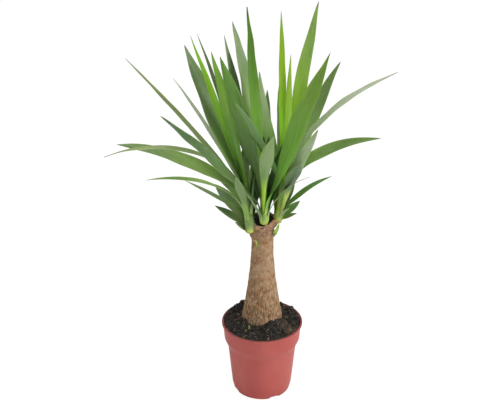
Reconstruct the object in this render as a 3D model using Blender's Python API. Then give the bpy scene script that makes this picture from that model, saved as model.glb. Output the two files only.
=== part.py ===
"""A small cane yucca in a 12 cm nursery pot: pot, soil, cane, three shoots and their leaves.

Every length below is in millimetres and every angle in degrees. The pot's underside is on z = 0,
its axis is the Z axis, and the front of the plant faces -Y.
"""

import math
from dataclasses import dataclass

import bmesh
import bpy
from mathutils import Matrix, Vector, noise

MM = 0.001
GAP = 0.3  # clearance between pieces that touch

# --- pot: the standard 12 cm pot that the other pot sizes follow from ---
POT_RADIUS = 60.0
POT_HEIGHT = 115.0
POT_WALL = 1.4
LIP_HEIGHT = 3.0
BAND_TAPER = 3.6
BAND_BOTTOM = POT_HEIGHT - 26.5
STEP_RADIUS = 51.0
STEP_BOTTOM = BAND_BOTTOM - 12.0
BASE_RADIUS = 44.6  # where the wall draws in to the base
BASE_TOP = 11.0
FLOOR_RADIUS = 42.5
FLOOR_ROUNDING = 3.5
POT_SIDES = 48
LIP_RADIUS = 0.9  # rounding of the lip
LIP_WIDTH = 2.8
LIP_STEP = 2.0  # how far the lip stands out past the band
LIP_CHAMFER = 2.0
DRAIN_COUNT = 4
DRAIN_WIDTH = 17.0
DRAIN_HEIGHT = 4.8
DRAIN_REACH = 10.0
DRAIN_FIRST_ANGLE = -64.5  # the drain that shows at the lower right of the front

# --- soil: mounded round the cane, lower along the wall ---
SOIL_AT_WALL = 111.5
SOIL_AT_CANE = 117.5
SOIL_RINGS = 6
SOIL_ROUGHNESS = 1.6
SOIL_GRAIN = 9.0
# clumps on the soil: place across, place back, spread and height
SOIL_CLUMPS = (
    (-28.0, 45.0, 7.0, 8.0),
    (-44.0, 28.0, 15.0, 3.5),
    (30.0, 45.0, 5.0, 6.0),
    (41.0, 32.0, 11.0, 2.5),
    (47.0, 32.0, 4.0, 3.0),
    (-36.0, -26.0, 10.0, 1.5),
    (14.0, -44.0, 9.0, 1.0),
)

# --- cane: bare trunk with a swollen foot, standing a little behind the pot's axis ---
CANE_SETBACK = 8.0
CANE_RADIUS = 16.2
FOOT_RADIUS = 30.5
FOOT_HEIGHT = 118.0
WAIST_HEIGHT = 245.0
FLARE_POWER = 1.9
CUT_HEIGHT = 279.0
CUT_SLANT = 17.0  # the sawn top falls towards the front
CALLUS = 0.9  # how far the healed bark swells round the cut
BURIED_DEPTH = 66.0
# sections of the buried foot: share of its full radius, height above its bottom
BURIED_SECTIONS = (
    (0.55, 0.0),
    (0.84, 12.0),
    (0.96, 34.0),
    (1.0, BURIED_DEPTH - 8.0),
    (1.0, BURIED_DEPTH + 1.5),
)
CANE_SIDES = 24
CANE_LEVELS = (6, 14, 24, 36, 50, 66, 84, 104, 124, 142)  # heights of the bark's sections above its foot
FLUTES = 2.2
FLUTE_LENGTH = 70.0
FLUTE_DEPTH = 0.03
SEAL_THICKNESS = 2.2
# sections of the wax: share of the cane's radius, share of the wax's thickness
SEAL_SECTIONS = ((0.93, 0.0), (0.95, 0.6), (0.8, 1.0), (0.4, 1.4))

# --- leaves ---
LEAF_STEPS = 10
LEAF_THICKNESS = 0.9
WIDEST = 0.45  # share of the length at which most leaves are widest
NECK = 0.5  # width of a leaf's base, as a share of its widest
TIP_POWER = 2.3
SHEATH = 26.0  # length over which a leaf turns away from its shoot
MOST_SHEATH = 0.25  # the same as the most it takes of a short leaf
OPENING = 0.12  # how far a leaf base points away from its shoot
ROLLED_BY = 0.5  # share of the length over which a leaf takes up its roll
CLASP = 1.15  # widest leaf base, in radii of its shoot
FOLD_AT_BASE = 0.24
FOLD_AT_TIP = 0.06
THINNING = 0.6  # share of its thickness that a leaf loses by its tip
POINT = 0.04  # width left at the very tip, as a share of the widest

# --- shoots: sections as (share of the way up, share of the radius there) ---
SHOOT_SECTIONS = ((-0.03, 0.45), (0.0, 0.8), (0.06, 1.0), (0.35, 1.0), (0.7, 1.0), (1.0, 1.0), (1.05, 0.5))
SHOOT_SIDES = 12

# --- small growths: name, turn round the cane, height, length, width, thickness, splay, colour ---
SPROUTS = (
    ("trunk_bud", 224, 249, 8, 4.6, 2.4, 0.8, "#adb572"),
    ("side_sprout", 346, 251, 15, 6.5, 3.0, 5.5, "#7a9a4e"),
)
BARK_BULGE = 0.25  # extra room for the bark's swelling under a growth
SPINDLE_SECTIONS = ((0.0, 0.45), (0.15, 0.85), (0.35, 1.0), (0.6, 0.8), (0.82, 0.45), (1.0, 0.06))
SPINDLE_SIDES = 8
SEEDLING_PLACE = (-19.5, -27.0)
SEEDLING_REACH = Vector((1.5, -1.0, 7.0))
SEEDLING_WIDTH = 3.4

# --- greens, from the shaded and older leaves to the young ones that the light shines through ---
DARK = "#455536"
DEEP = "#546d42"
MID = "#63804a"
GREY = "#7f9565"
PALE = "#8f9f80"
BRIGHT = "#64912f"
VIVID = "#7aa22f"


@dataclass(frozen=True)
class Shoot:
    """One green shoot: a tapering stem from foot to top, with its radius at each end."""

    name: str
    foot: Vector
    top: Vector
    foot_radius: float
    top_radius: float
    colour: str

    def place(self, height: float) -> Vector:
        """Point on the axis at this share of the way up."""
        return self.foot.lerp(self.top, height)

    def radius(self, height: float) -> float:
        return self.foot_radius + (self.top_radius - self.foot_radius) * height


@dataclass(frozen=True)
class Leaf:
    """One strap leaf, as a person would describe it on the plant.

    green: its colour.
    height: share of the way up the shoot where it leaves the stem.
    turn: heading seen from above, 0 towards +X and 90 towards the back.
    lean: angle away from upright once clear of the stem.
    bend: how much further it arches over by the tip.
    roll: turn of the blade about its own length.
    swerve: how much its heading changes by the tip.
    arch: under 1 it bends over early and runs straight, over 1 it bends near the tip.
    neck: width of its base, as a share of its widest.
    widest: share of its length at which it is widest; a late one opens suddenly, like a spoon.
    """

    green: str
    height: float
    turn: float
    lean: float
    bend: float
    length: float
    width: float
    roll: float = 0.0
    swerve: float = 0.0
    arch: float = 1.5
    neck: float = NECK
    widest: float = WIDEST


LEFT = Shoot("left", Vector((-17.5, 1, 264)), Vector((-23, 1, 340)), 6.3, 3.2, "#9fb04a")
MIDDLE = Shoot("middle", Vector((2.3, -1, 278)), Vector((2, -8, 346)), 5.4, 3.0, "#9cb843")
RIGHT = Shoot("right", Vector((22, 8, 276)), Vector((29, 9, 342)), 5.0, 3.0, "#a8c452")

LEFT_LEAVES = (
    Leaf(DARK, 0.01, 160, 65, 0, 60, 12, -30),
    Leaf(DARK, 0.06, 130, 65, 14, 90, 19, -35),
    Leaf(GREY, 0.12, 150, 72, 7, 122, 6, -20),
    Leaf(GREY, 0.15, 246, 27, 0, 102, 16, 0, 0, 1.5, 0.35, 0.66),
    Leaf(MID, 0.25, 206, 8, 81, 190, 10, -5, 0, 0.5),
    Leaf(DARK, 0.28, 75, 32, 24, 120, 16),
    Leaf(DARK, 0.32, 121, 50, 32, 98, 12, -30),
    Leaf(MID, 0.35, 152, 46, 22, 104, 9, -20),
    Leaf(MID, 0.43, 170, 36, 55, 222, 22, -20, 0, 0.7),
    Leaf(MID, 0.49, 190, -10, 121, 249, 10, -5, 0, 0.55),
    Leaf(GREY, 0.55, 161, 42, 7, 270, 12, 20),
    Leaf(GREY, 0.63, 145, 38, 9, 204, 13, 15),
    Leaf(MID, 0.70, 171, 20, 3, 238, 27, -52),
    Leaf(GREY, 0.84, 134, 21, 13, 231, 9, -25),
    Leaf(BRIGHT, 0.86, 186, 17, 2, 241, 12, -30),
    Leaf(VIVID, 0.94, 218, 13, 4, 219, 15, 50),
    Leaf(DEEP, 1.00, 100, 3, 3, 62, 14),
)

MIDDLE_LEAVES = (
    Leaf(PALE, 0.03, 224, 24, 19, 64, 8),
    Leaf(PALE, 0.08, 333, 25, 44, 110, 8),
    Leaf(DEEP, 0.14, 192, 40, 7, 222, 23, -25),
    Leaf(DARK, 0.21, 88, 52, 20, 222, 17),
    Leaf(BRIGHT, 0.26, 343, 19, 2, 264, 29, 60),
    Leaf(GREY, 0.32, 262, 19, 8, 150, 21, 0, 44, 1.5, 0.32, 0.7),
    Leaf(DARK, 0.41, 114, 36, 18, 200, 17),
    Leaf(MID, 0.50, 205, 13, 7, 238, 26, 50),
    Leaf(DARK, 0.60, 136, 22, -8, 237, 18),
    Leaf(GREY, 0.72, 125, 13, 14, 246, 22),
    Leaf(DEEP, 0.85, 70, 10, 8, 75, 12),
    Leaf(BRIGHT, 1.00, 140, 8, -5, 250, 21),
)

RIGHT_LEAVES = (
    Leaf(MID, 0.01, 335, 60, 0, 34, 7),
    Leaf(DEEP, 0.02, 21, 57, -8, 43, 12),
    Leaf(GREY, 0.05, 303, 34, 17, 40, 11),
    Leaf(MID, 0.07, 352, 37, 32, 104, 10),
    Leaf(DARK, 0.12, 60, 54, 0, 60, 14),
    Leaf(DARK, 0.17, 296, 24, 15, 124, 23, 0, 0, 1.5, 0.3, 0.7),
    Leaf(MID, 0.25, 352, 15, 80, 197, 17, 28, 0, 1.2),
    Leaf(DARK, 0.31, 96, 44, 24, 212, 17),
    Leaf(PALE, 0.36, 312, 24, 8, 156, 18, -35),
    Leaf(DEEP, 0.43, 91, 18, 28, 108, 14),
    Leaf(PALE, 0.50, 346, 13, 50, 266, 14, 20, 0, 1.0),
    Leaf(DEEP, 0.58, 30, 20, 19, 210, 20, 50),
    Leaf(DARK, 0.66, 221, 20, 10, 226, 14, 25),
    Leaf(GREY, 0.74, 150, 18, -14, 176, 17, -30),
    Leaf(BRIGHT, 0.83, 290, 3, 2, 205, 10),
    Leaf(VIVID, 0.91, 105, 5, 0, 247, 11),
    Leaf(BRIGHT, 1.00, 20, 6, 9, 260, 19, 60),
)


def clear_scene() -> None:
    for obj in list(bpy.data.objects):
        bpy.data.objects.remove(obj, do_unlink=True)


def linear(colour: str) -> tuple[float, ...]:
    """Linear RGB of a "#rrggbb" colour."""
    channels = [int(colour[start : start + 2], 16) / 255 for start in (1, 3, 5)]
    return tuple(c / 12.92 if c <= 0.04045 else ((c + 0.055) / 1.055) ** 2.4 for c in channels)


def make_material(name: str, colour: str, roughness: float) -> bpy.types.Material:
    """Plain Principled material with this colour."""
    material = bpy.data.materials.new(name)
    material.use_nodes = True
    shader = material.node_tree.nodes["Principled BSDF"]
    shader.inputs["Base Color"].default_value = (*linear(colour), 1.0)
    shader.inputs["Roughness"].default_value = roughness
    shader.inputs["Metallic"].default_value = 0.0
    return material


def add_object(
    name: str, shape: bmesh.types.BMesh, material: bpy.types.Material | None
) -> bpy.types.Object:
    """Turns a shape in millimetres into an object in metres, shaded smooth but for sharp edges."""
    bmesh.ops.scale(shape, vec=Vector((MM, MM, MM)), verts=shape.verts)
    bmesh.ops.recalc_face_normals(shape, faces=shape.faces)
    mesh = bpy.data.meshes.new(name)
    shape.to_mesh(mesh)
    shape.free()
    mesh.shade_smooth()
    mesh.set_sharp_from_angle(angle=math.radians(40))
    if material:
        mesh.materials.append(material)
    obj = bpy.data.objects.new(name, mesh)
    bpy.context.collection.objects.link(obj)
    return obj


def loft(rings: list[list[Vector]]) -> bmesh.types.BMesh:
    """Closed solid through rings of equal count, with a flat cap at each end."""
    shape = bmesh.new()
    loops = [[shape.verts.new(point) for point in ring] for ring in rings]
    for lower, upper in zip(loops, loops[1:]):
        for here in range(len(lower)):
            there = (here + 1) % len(lower)
            shape.faces.new((lower[here], lower[there], upper[there], upper[here]))
    shape.faces.new(loops[0])
    shape.faces.new(loops[-1])
    return shape


def turned(profile: list[tuple[float, float]], sides: int) -> bmesh.types.BMesh:
    """Solid turned about Z from (radius, height) points; a point at radius 0 closes an end."""
    shape = bmesh.new()
    points = [shape.verts.new((radius, 0, height)) for radius, height in profile]
    edges = [shape.edges.new(pair) for pair in zip(points, points[1:])]
    bmesh.ops.spin(
        shape,
        geom=points + edges,
        cent=(0, 0, 0),
        axis=(0, 0, 1),
        angle=math.tau,
        steps=sides,
        use_merge=True,
    )
    bmesh.ops.remove_doubles(shape, verts=shape.verts, dist=1e-4)
    return shape


def arc(centre: tuple[float, float], radius: float, start: float, end: float, steps: int) -> list:
    """Points of a circular arc in the (radius, height) plane, both ends included."""
    angles = [math.radians(start + (end - start) * step / steps) for step in range(steps + 1)]
    return [(centre[0] + radius * math.cos(a), centre[1] + radius * math.sin(a)) for a in angles]


def cut_away(obj: bpy.types.Object, cutter: bpy.types.Object) -> None:
    """Boolean difference; the cutter stays in the file as a hidden wire guide."""
    cutter.hide_render = True
    cutter.display_type = "WIRE"
    modifier = obj.modifiers.new(f"cut by {cutter.name}", "BOOLEAN")
    modifier.operation = "DIFFERENCE"
    modifier.solver = "EXACT"
    modifier.object = cutter


def pot_outside(inset: float) -> list[tuple[float, float]]:
    """Outer wall from the floor's corner to the lip, moved inwards by an inset."""
    corner = (FLOOR_RADIUS - FLOOR_ROUNDING, FLOOR_ROUNDING)
    return [
        *arc(corner, FLOOR_ROUNDING - inset, -90, 0, 3),
        (BASE_RADIUS - inset, BASE_TOP),
        (STEP_RADIUS - inset, STEP_BOTTOM + inset / 2),
        (POT_RADIUS - BAND_TAPER - inset, BAND_BOTTOM + inset / 2),
    ]


def make_pot() -> None:
    """Thin moulded pot: tapered body, chamfer, plain rim band, rounded lip and drains."""
    lip_outside = (POT_RADIUS - LIP_RADIUS, POT_HEIGHT - LIP_RADIUS)
    lip_inside = (POT_RADIUS - LIP_WIDTH + LIP_RADIUS, POT_HEIGHT - LIP_RADIUS)
    lip_bottom = POT_HEIGHT - LIP_HEIGHT - LIP_CHAMFER
    profile = [
        (0.0, 0.0),
        *pot_outside(0.0),
        (POT_RADIUS - LIP_STEP, lip_bottom),
        (POT_RADIUS, POT_HEIGHT - LIP_HEIGHT),
        *arc(lip_outside, LIP_RADIUS, 0, 90, 2),
        *arc(lip_inside, LIP_RADIUS, 90, 180, 2),
        (POT_RADIUS - LIP_STEP - POT_WALL, lip_bottom),
        *reversed(pot_outside(POT_WALL)),
        (0.0, POT_WALL),
    ]
    plastic = make_material("terracotta red polypropylene", "#b56259", 0.45)
    pot = add_object("pot", turned(profile, POT_SIDES), plastic)
    cutters = bmesh.new()
    for drain in range(DRAIN_COUNT):
        angle = math.radians(DRAIN_FIRST_ANGLE + drain * 360 / DRAIN_COUNT)
        oval = Matrix.Diagonal((DRAIN_WIDTH / 2, DRAIN_HEIGHT, DRAIN_REACH, 1))
        lying = Matrix.Rotation(math.radians(90), 4, "X")
        out = Matrix.Rotation(angle + math.radians(90), 4, "Z")
        place = Matrix.Translation((FLOOR_RADIUS * math.cos(angle), FLOOR_RADIUS * math.sin(angle), 0))
        bmesh.ops.create_cone(
            cutters,
            cap_ends=True,
            segments=16,
            radius1=1,
            radius2=1,
            depth=1,
            matrix=place @ out @ lying @ oval,
        )
    cut_away(pot, add_object("drain_cutters", cutters, None))


def cane_radius(height: float) -> float:
    """Radius of the cane above the soil: slim, flaring to the swollen foot."""
    if height >= WAIST_HEIGHT:
        return CANE_RADIUS + CALLUS * (height - WAIST_HEIGHT) / (CUT_HEIGHT - WAIST_HEIGHT)
    down = min((WAIST_HEIGHT - height) / (WAIST_HEIGHT - FOOT_HEIGHT), 1.0)
    return CANE_RADIUS + (FOOT_RADIUS - CANE_RADIUS) * down**FLARE_POWER


def buried_profile(clearance: float) -> list[tuple[float, float]]:
    """Rounded foot of the cane below the soil, from its bottom up to the swollen part."""
    bottom = FOOT_HEIGHT - BURIED_DEPTH
    return [
        (FOOT_RADIUS * share + clearance, bottom + rise - (clearance if rise == 0 else 0))
        for share, rise in BURIED_SECTIONS
    ]


def cane_centre() -> Vector:
    return Vector((0, CANE_SETBACK, 0))


def soil_height(x: float, y: float) -> float:
    """Height of the soil: a mound round the cane, loose clumps and fine roughness."""
    from_cane = math.hypot(x, y - CANE_SETBACK) - FOOT_RADIUS
    from_wall = POT_RADIUS - math.hypot(x, y)
    share = from_wall / max(from_wall + from_cane, 1.0)
    height = SOIL_AT_WALL + (SOIL_AT_CANE - SOIL_AT_WALL) * share
    for across, back, spread, rise in SOIL_CLUMPS:
        height += rise * math.exp(-((x - across) ** 2 + (y - back) ** 2) / spread**2)
    return height + SOIL_ROUGHNESS * noise.noise(Vector((x, y, 0)) / SOIL_GRAIN)


def make_soil() -> None:
    """Potting mix that fills the pot with a small gap, with a pocket for the cane's foot."""
    wall = pot_outside(POT_WALL + GAP)
    rim_radius = POT_RADIUS - LIP_STEP - POT_WALL - GAP
    shape = bmesh.new()

    def ring(radius: float, height: float | None, centre: Vector) -> list:
        made = []
        for side in range(POT_SIDES):
            angle = math.tau * side / POT_SIDES
            x = centre.x + radius * math.cos(angle)
            y = centre.y + radius * math.sin(angle)
            made.append(shape.verts.new((x, y, soil_height(x, y) if height is None else height)))
        return made

    axis = Vector((0, 0, 0))
    pocket = buried_profile(GAP)[::-1]
    loops = [ring(radius, height, axis) for radius, height in wall]
    for step in range(SOIL_RINGS):
        share = step / (SOIL_RINGS - 1)
        radius = rim_radius + (pocket[0][0] - rim_radius) * share
        loops.append(ring(radius, None, axis.lerp(cane_centre(), share)))
    loops += [ring(radius, height, cane_centre()) for radius, height in pocket[1:]]
    for lower_loop, upper_loop in zip(loops, loops[1:]):
        for here in range(POT_SIDES):
            there = (here + 1) % POT_SIDES
            shape.faces.new((lower_loop[here], lower_loop[there], upper_loop[there], upper_loop[here]))
    shape.faces.new(loops[0])
    shape.faces.new(loops[-1])
    add_object("potting_soil", shape, make_material("potting mix", "#3a2f27", 0.95))


def on_cut(angle: float, share: float, rise: float) -> Vector:
    """Point above the slanted sawn top, at a share of the cane's radius from its axis."""
    reach = cane_radius(CUT_HEIGHT) * share
    back = reach * math.sin(angle)
    height = CUT_HEIGHT + back * math.tan(math.radians(CUT_SLANT)) + rise
    return cane_centre() + Vector((reach * math.cos(angle), back, height))


def on_bark(angle: float, height: float, clearance: float = 0.0) -> Vector:
    """Point on the slightly fluted bark above the soil, or this far out from it."""
    around = Vector((math.cos(angle), math.sin(angle), 0))
    fluting = noise.noise(around * FLUTES + Vector((0, 0, height / FLUTE_LENGTH)))
    reach = cane_radius(height) * (1 + FLUTE_DEPTH * fluting) + clearance
    return cane_centre() + around * reach + Vector((0, 0, height))


def make_cane() -> bpy.types.Object:
    """Bare cane: round and smooth where buried, slightly fluted bark above, a slanted sawn top."""
    angles = [math.tau * side / CANE_SIDES for side in range(CANE_SIDES)]
    rings = []
    for radius, height in buried_profile(0.0):
        middle = cane_centre() + Vector((0, 0, height))
        rings.append([middle + radius * Vector((math.cos(a), math.sin(a), 0)) for a in angles])
    for rise in CANE_LEVELS:
        rings.append([on_bark(a, FOOT_HEIGHT + rise) for a in angles])
    rings.append([on_cut(a, 1.0, 0.0) for a in angles])
    return add_object("trunk", loft(rings), make_material("bare yucca bark", "#9c7d61", 0.85))


def make_seal() -> bpy.types.Object:
    """Black wax over the sawn top, domed towards its middle."""
    angles = [math.tau * side / CANE_SIDES for side in range(CANE_SIDES)]
    rings = [
        [on_cut(angle, share, GAP + rise * SEAL_THICKNESS) for angle in angles]
        for share, rise in SEAL_SECTIONS
    ]
    return add_object("wound_seal", loft(rings), make_material("black grafting wax", "#161817", 0.35))


def spindle(foot: Vector, tip: Vector, flat: Vector, width: float, thickness: float) -> bmesh.types.BMesh:
    """Small pointed bud or blade from foot to tip, widest a third of the way up."""
    along = (tip - foot).normalized()
    across = flat.cross(along).normalized()
    through = along.cross(across)
    angles = [math.tau * side / SPINDLE_SIDES for side in range(SPINDLE_SIDES)]
    rings = []
    for share, swell in SPINDLE_SECTIONS:
        middle = foot.lerp(tip, share)
        half = across * width * swell / 2
        deep = through * thickness * swell / 2
        rings.append([middle + half * math.cos(a) + deep * math.sin(a) for a in angles])
    return loft(rings)


def make_sprouts() -> None:
    """The bud and the sprout on the cane under the shoots, and the seedling in the soil."""
    for name, turn, height, length, width, thickness, splay, green in SPROUTS:
        angle = math.radians(turn)
        outward = Vector((math.cos(angle), math.sin(angle), 0))
        deepest = max(swell * thickness / 2 - share * splay for share, swell in SPINDLE_SECTIONS)
        foot = on_bark(angle, height, GAP + BARK_BULGE + deepest)
        tip = foot + Vector((0, 0, length)) + outward * splay
        shape = spindle(foot, tip, outward, width, thickness)
        add_object(name, shape, make_material(f"{name.replace('_', ' ')} green", green, 0.5))
    foot = Vector((*SEEDLING_PLACE, soil_height(*SEEDLING_PLACE) + 2 * GAP))
    seedling = spindle(foot, foot + SEEDLING_REACH, Vector((0, -1, 0)), SEEDLING_WIDTH, SEEDLING_WIDTH / 2)
    add_object("soil_sprout", seedling, make_material("seedling green", "#a9a74f", 0.6))


def shoot_solid(shoot: Shoot, clearance: float) -> bmesh.types.BMesh:
    """Tapering stem with a rounded foot; a clearance makes it the cutter for its seat."""
    along = (shoot.top - shoot.foot).normalized()
    side = along.orthogonal().normalized()
    other = along.cross(side)
    angles = [math.tau * step / SHOOT_SIDES for step in range(SHOOT_SIDES)]
    rings = []
    for height, share in SHOOT_SECTIONS:
        reach = shoot.radius(height) * share + clearance
        middle = shoot.place(height) - along * (clearance if height < 0 else 0)
        rings.append([middle + reach * (math.cos(a) * side + math.sin(a) * other) for a in angles])
    return loft(rings)


def eased(share: float) -> float:
    """Smooth step from 0 to 1."""
    share = min(share, 1.0)
    return share * share * (3 - 2 * share)


def leaf_rings(shoot: Shoot, leaf: Leaf) -> list[list[Vector]]:
    """Sections along a leaf, each with its left edge, upper crease, right edge and keel."""
    heading = math.radians(leaf.turn)
    outward = Vector((math.cos(heading), math.sin(heading), 0))
    clear = shoot.radius(leaf.height) + GAP + LEAF_THICKNESS / 2
    place = shoot.place(leaf.height) + outward * clear
    clasped = (shoot.top - shoot.foot).normalized() + outward * OPENING
    sheath = min(SHEATH / leaf.length, MOST_SHEATH)
    rings = []
    for step in range(LEAF_STEPS + 1):
        share = step / LEAF_STEPS
        opened = eased(share / sheath)
        lean = math.radians(leaf.lean + leaf.bend * share**leaf.arch)
        heading = math.radians(leaf.turn + leaf.swerve * share)
        flat = Vector((math.cos(heading), math.sin(heading), 0))
        along = flat * math.sin(lean) + Vector((0, 0, math.cos(lean)))
        along = clasped.lerp(along, opened).normalized()
        level = Vector((-flat.y, flat.x, 0))
        above = along.cross(level)
        roll = math.radians(leaf.roll) * eased(share / ROLLED_BY)
        across = level * math.cos(roll) + above * math.sin(roll)
        above = along.cross(across)
        half = leaf_width(leaf, share, CLASP * shoot.radius(leaf.height)) / 2
        fold = FOLD_AT_BASE + (FOLD_AT_TIP - FOLD_AT_BASE) * share
        edge = place + above * (fold * half)
        through = above * (LEAF_THICKNESS * (1 - THINNING * share) / 2)
        side = across * half
        rings.append([edge - side, place + through, edge + side, place - through])
        place = place + along * (leaf.length / LEAF_STEPS)
    return rings


def blade(rings: list[list[Vector]]) -> bmesh.types.BMesh:
    """Closed thin leaf through its sections.

    Every face is split from the leaf's edge to the next crease or keel, alike above and below, so that
    the two skins run side by side and never cross where the leaf twists.
    """
    shape = bmesh.new()
    loops = [[shape.verts.new(point) for point in ring] for ring in rings]
    for lower, upper in zip(loops, loops[1:]):
        for edge, middle in ((0, 1), (2, 1), (2, 3), (0, 3)):
            shape.faces.new((lower[edge], lower[middle], upper[middle]))
            shape.faces.new((lower[edge], upper[middle], upper[edge]))
    for left, crease, right, keel in (loops[0], loops[-1]):
        shape.faces.new((left, crease, keel))
        shape.faces.new((crease, right, keel))
    return shape


def leaf_width(leaf: Leaf, share: float, most_clasp: float) -> float:
    """Width at a share of the length: a narrow clasping base, a broad middle and a long point."""
    base = min(leaf.neck * leaf.width, most_clasp)
    late = leaf.widest / WIDEST
    if share < leaf.widest:
        return base + (leaf.width - base) * eased(share / leaf.widest) ** late**2
    left = (share - leaf.widest) / (1 - leaf.widest)
    return leaf.width * max(1 - left ** (TIP_POWER / late), POINT)


def make_shoots(trunk: bpy.types.Object, seal: bpy.types.Object) -> None:
    """The three shoots, each in a close seat cut in the cane and the wax, with all its leaves."""
    for shoot, leaves in ((LEFT, LEFT_LEAVES), (MIDDLE, MIDDLE_LEAVES), (RIGHT, RIGHT_LEAVES)):
        stem = make_material(f"{shoot.name} shoot green", shoot.colour, 0.5)
        add_object(f"{shoot.name}_shoot", shoot_solid(shoot, 0.0), stem)
        seat = add_object(f"{shoot.name}_seat_cutter", shoot_solid(shoot, GAP), None)
        cut_away(trunk, seat)
        cut_away(seal, seat)
        for count, leaf in enumerate(leaves, start=1):
            green = make_material(f"{shoot.name} leaf {count} green", leaf.green, 0.45)
            add_object(f"{shoot.name}_leaf_{count:02d}", blade(leaf_rings(shoot, leaf)), green)


def main() -> None:
    clear_scene()
    make_pot()
    make_soil()
    trunk = make_cane()
    seal = make_seal()
    make_shoots(trunk, seal)
    make_sprouts()


if __name__ == "__main__":
    main()
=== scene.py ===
"""A small cane yucca in a 12 cm nursery pot, dressed and lit in a plain studio.

Sizes are in millimetres and angles in degrees unless a name says otherwise. The pot's underside is on
the floor, the pot's axis is Z, and the front of the plant faces -Y.
"""

import logging
import math
from collections.abc import Callable, Iterable
from dataclasses import dataclass, field
from enum import Enum

import bmesh
import bpy
import numpy as np
from mathutils import Matrix, Vector, noise


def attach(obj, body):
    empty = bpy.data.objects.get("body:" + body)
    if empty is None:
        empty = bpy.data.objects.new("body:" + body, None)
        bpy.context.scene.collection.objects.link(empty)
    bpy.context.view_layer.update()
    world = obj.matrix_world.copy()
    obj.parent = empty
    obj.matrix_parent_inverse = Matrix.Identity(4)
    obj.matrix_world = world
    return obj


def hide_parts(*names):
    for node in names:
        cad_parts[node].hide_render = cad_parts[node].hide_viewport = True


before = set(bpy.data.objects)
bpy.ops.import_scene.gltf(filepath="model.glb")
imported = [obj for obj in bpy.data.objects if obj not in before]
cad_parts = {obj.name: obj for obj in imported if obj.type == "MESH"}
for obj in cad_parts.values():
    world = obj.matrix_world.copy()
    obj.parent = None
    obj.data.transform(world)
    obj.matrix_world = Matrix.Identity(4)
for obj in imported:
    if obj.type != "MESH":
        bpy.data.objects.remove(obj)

LOG = logging.getLogger("potted_yucca")
MM = 0.001
GAP = 0.3  # clearance that the solids keep to each other
BODY = "root"
CANE_AXIS = Vector((0.0, 8.0, 0.0))  # the cane stands a little behind the pot's axis
UP = Vector((0.0, 0.0, 1.0))

# Sockets of the Mix node when it mixes colours.
MIX_FACTOR, MIX_FIRST, MIX_SECOND, MIX_RESULT = 0, 6, 7, 2

Colour = tuple[float, float, float, float]
# a tint: the pattern, where the tint starts and where it is full, its greatest share, its colour
Tint = tuple[bpy.types.NodeSocket, float, float, float, str | Colour]
# a heap: place across, place back, spread and height
Heap = tuple[float, float, float, float]


# --------------------------------------------------------------------------- small tools


def linear(colour: str) -> Colour:
    """Turns an sRGB colour into linear RGBA.

    Args:
        colour: the colour as "#rrggbb".

    Returns:
        Its linear red, green and blue, and 1.
    """
    channels = [int(colour[start : start + 2], 16) / 255 for start in (1, 3, 5)]
    red, green, blue = (c / 12.92 if c <= 0.04045 else ((c + 0.055) / 1.055) ** 2.4 for c in channels)
    return red, green, blue, 1.0


def eased(share: float) -> float:
    """Smooth step from 0 to 1."""
    share = min(max(share, 0.0), 1.0)
    return share * share * (3 - 2 * share)


def hill(distance: float, width: float) -> float:
    """Rounded hill, 1 at its middle and near 0 from about twice its width on."""
    return math.exp(-((distance / width) ** 2))


def heaped(x: float, y: float, heaps: Iterable[Heap]) -> float:
    """Height of some round heaps at a place."""
    return sum(
        rise * hill(math.hypot(x - across, y - back), spread) for across, back, spread, rise in heaps
    )


def around(angle: float) -> Vector:
    """Level unit vector at this angle in radians from +X."""
    return Vector((math.cos(angle), math.sin(angle), 0.0))


def turns(count: int) -> list[float]:
    """Angles in radians of equal steps round a full turn."""
    return [math.tau * step / count for step in range(count)]


def off_heading(angle: float, heading: float) -> float:
    """How far an angle in radians is from a heading in degrees, the short way round."""
    return math.remainder(angle - math.radians(heading), math.tau)


def arc(centre: Vector, radius: float, start: float, end: float, steps: int) -> list[Vector]:
    """Points of an arc of a profile.

    Args:
        centre: its centre, as radius and height.
        radius: its radius.
        start: the angle of its first point, 0 outwards and 90 up.
        end: the angle of its last point.
        steps: how many stretches it has.

    Returns:
        The points, one more than the stretches.
    """
    angles = (math.radians(start + (end - start) * step / steps) for step in range(steps + 1))
    return [centre + radius * Vector((math.cos(a), math.sin(a))) for a in angles]


def lumps(place: Vector, size: float, octaves: int = 3) -> float:
    """Fractal noise of about -1 to 1 whose largest lumps are this wide."""
    return noise.fractal(place / size, 1.0, 2.0, octaves)


@dataclass
class Shape:
    """Points, faces and named point values of one piece while it is being built."""

    points: list[Vector] = field(default_factory=list)
    faces: list[tuple[int, ...]] = field(default_factory=list)
    values: dict[str, list[float]] = field(default_factory=dict)

    def point(self, place: Vector, **values: float) -> int:
        """Adds a point with its values.

        Args:
            place: the point, in millimetres.
            values: what the finish reads there, the same names for every point.

        Returns:
            The point's number.
        """
        self.points.append(place)
        for name, value in values.items():
            self.values.setdefault(name, []).append(value)
        return len(self.points) - 1

    def skin(self, rows: list[list[int]], ends: bool = False) -> None:
        """Covers rows of equal count with quads, each row closed round to its own start.

        Args:
            rows: point numbers, row by row.
            ends: whether a flat face closes the first and the last row.
        """
        for lower, upper in zip(rows, rows[1:]):
            for here in range(len(lower)):
                there = (here + 1) % len(lower)
                self.faces.append((lower[here], lower[there], upper[there], upper[here]))
        if ends:
            self.faces += [tuple(reversed(rows[0])), tuple(rows[-1])]

    def cap(self, ring: list[int], place: Vector, outward: bool, **values: float) -> None:
        """Closes a ring with a fan of triangles round one more point.

        Args:
            ring: point numbers of the ring.
            place: the point in its middle.
            outward: whether the ring runs anticlockwise seen from outside.
            values: the middle point's values.
        """
        middle = self.point(place, **values)
        for here, there in zip(ring, ring[1:] + ring[:1]):
            self.faces.append((here, there, middle) if outward else (there, here, middle))


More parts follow.
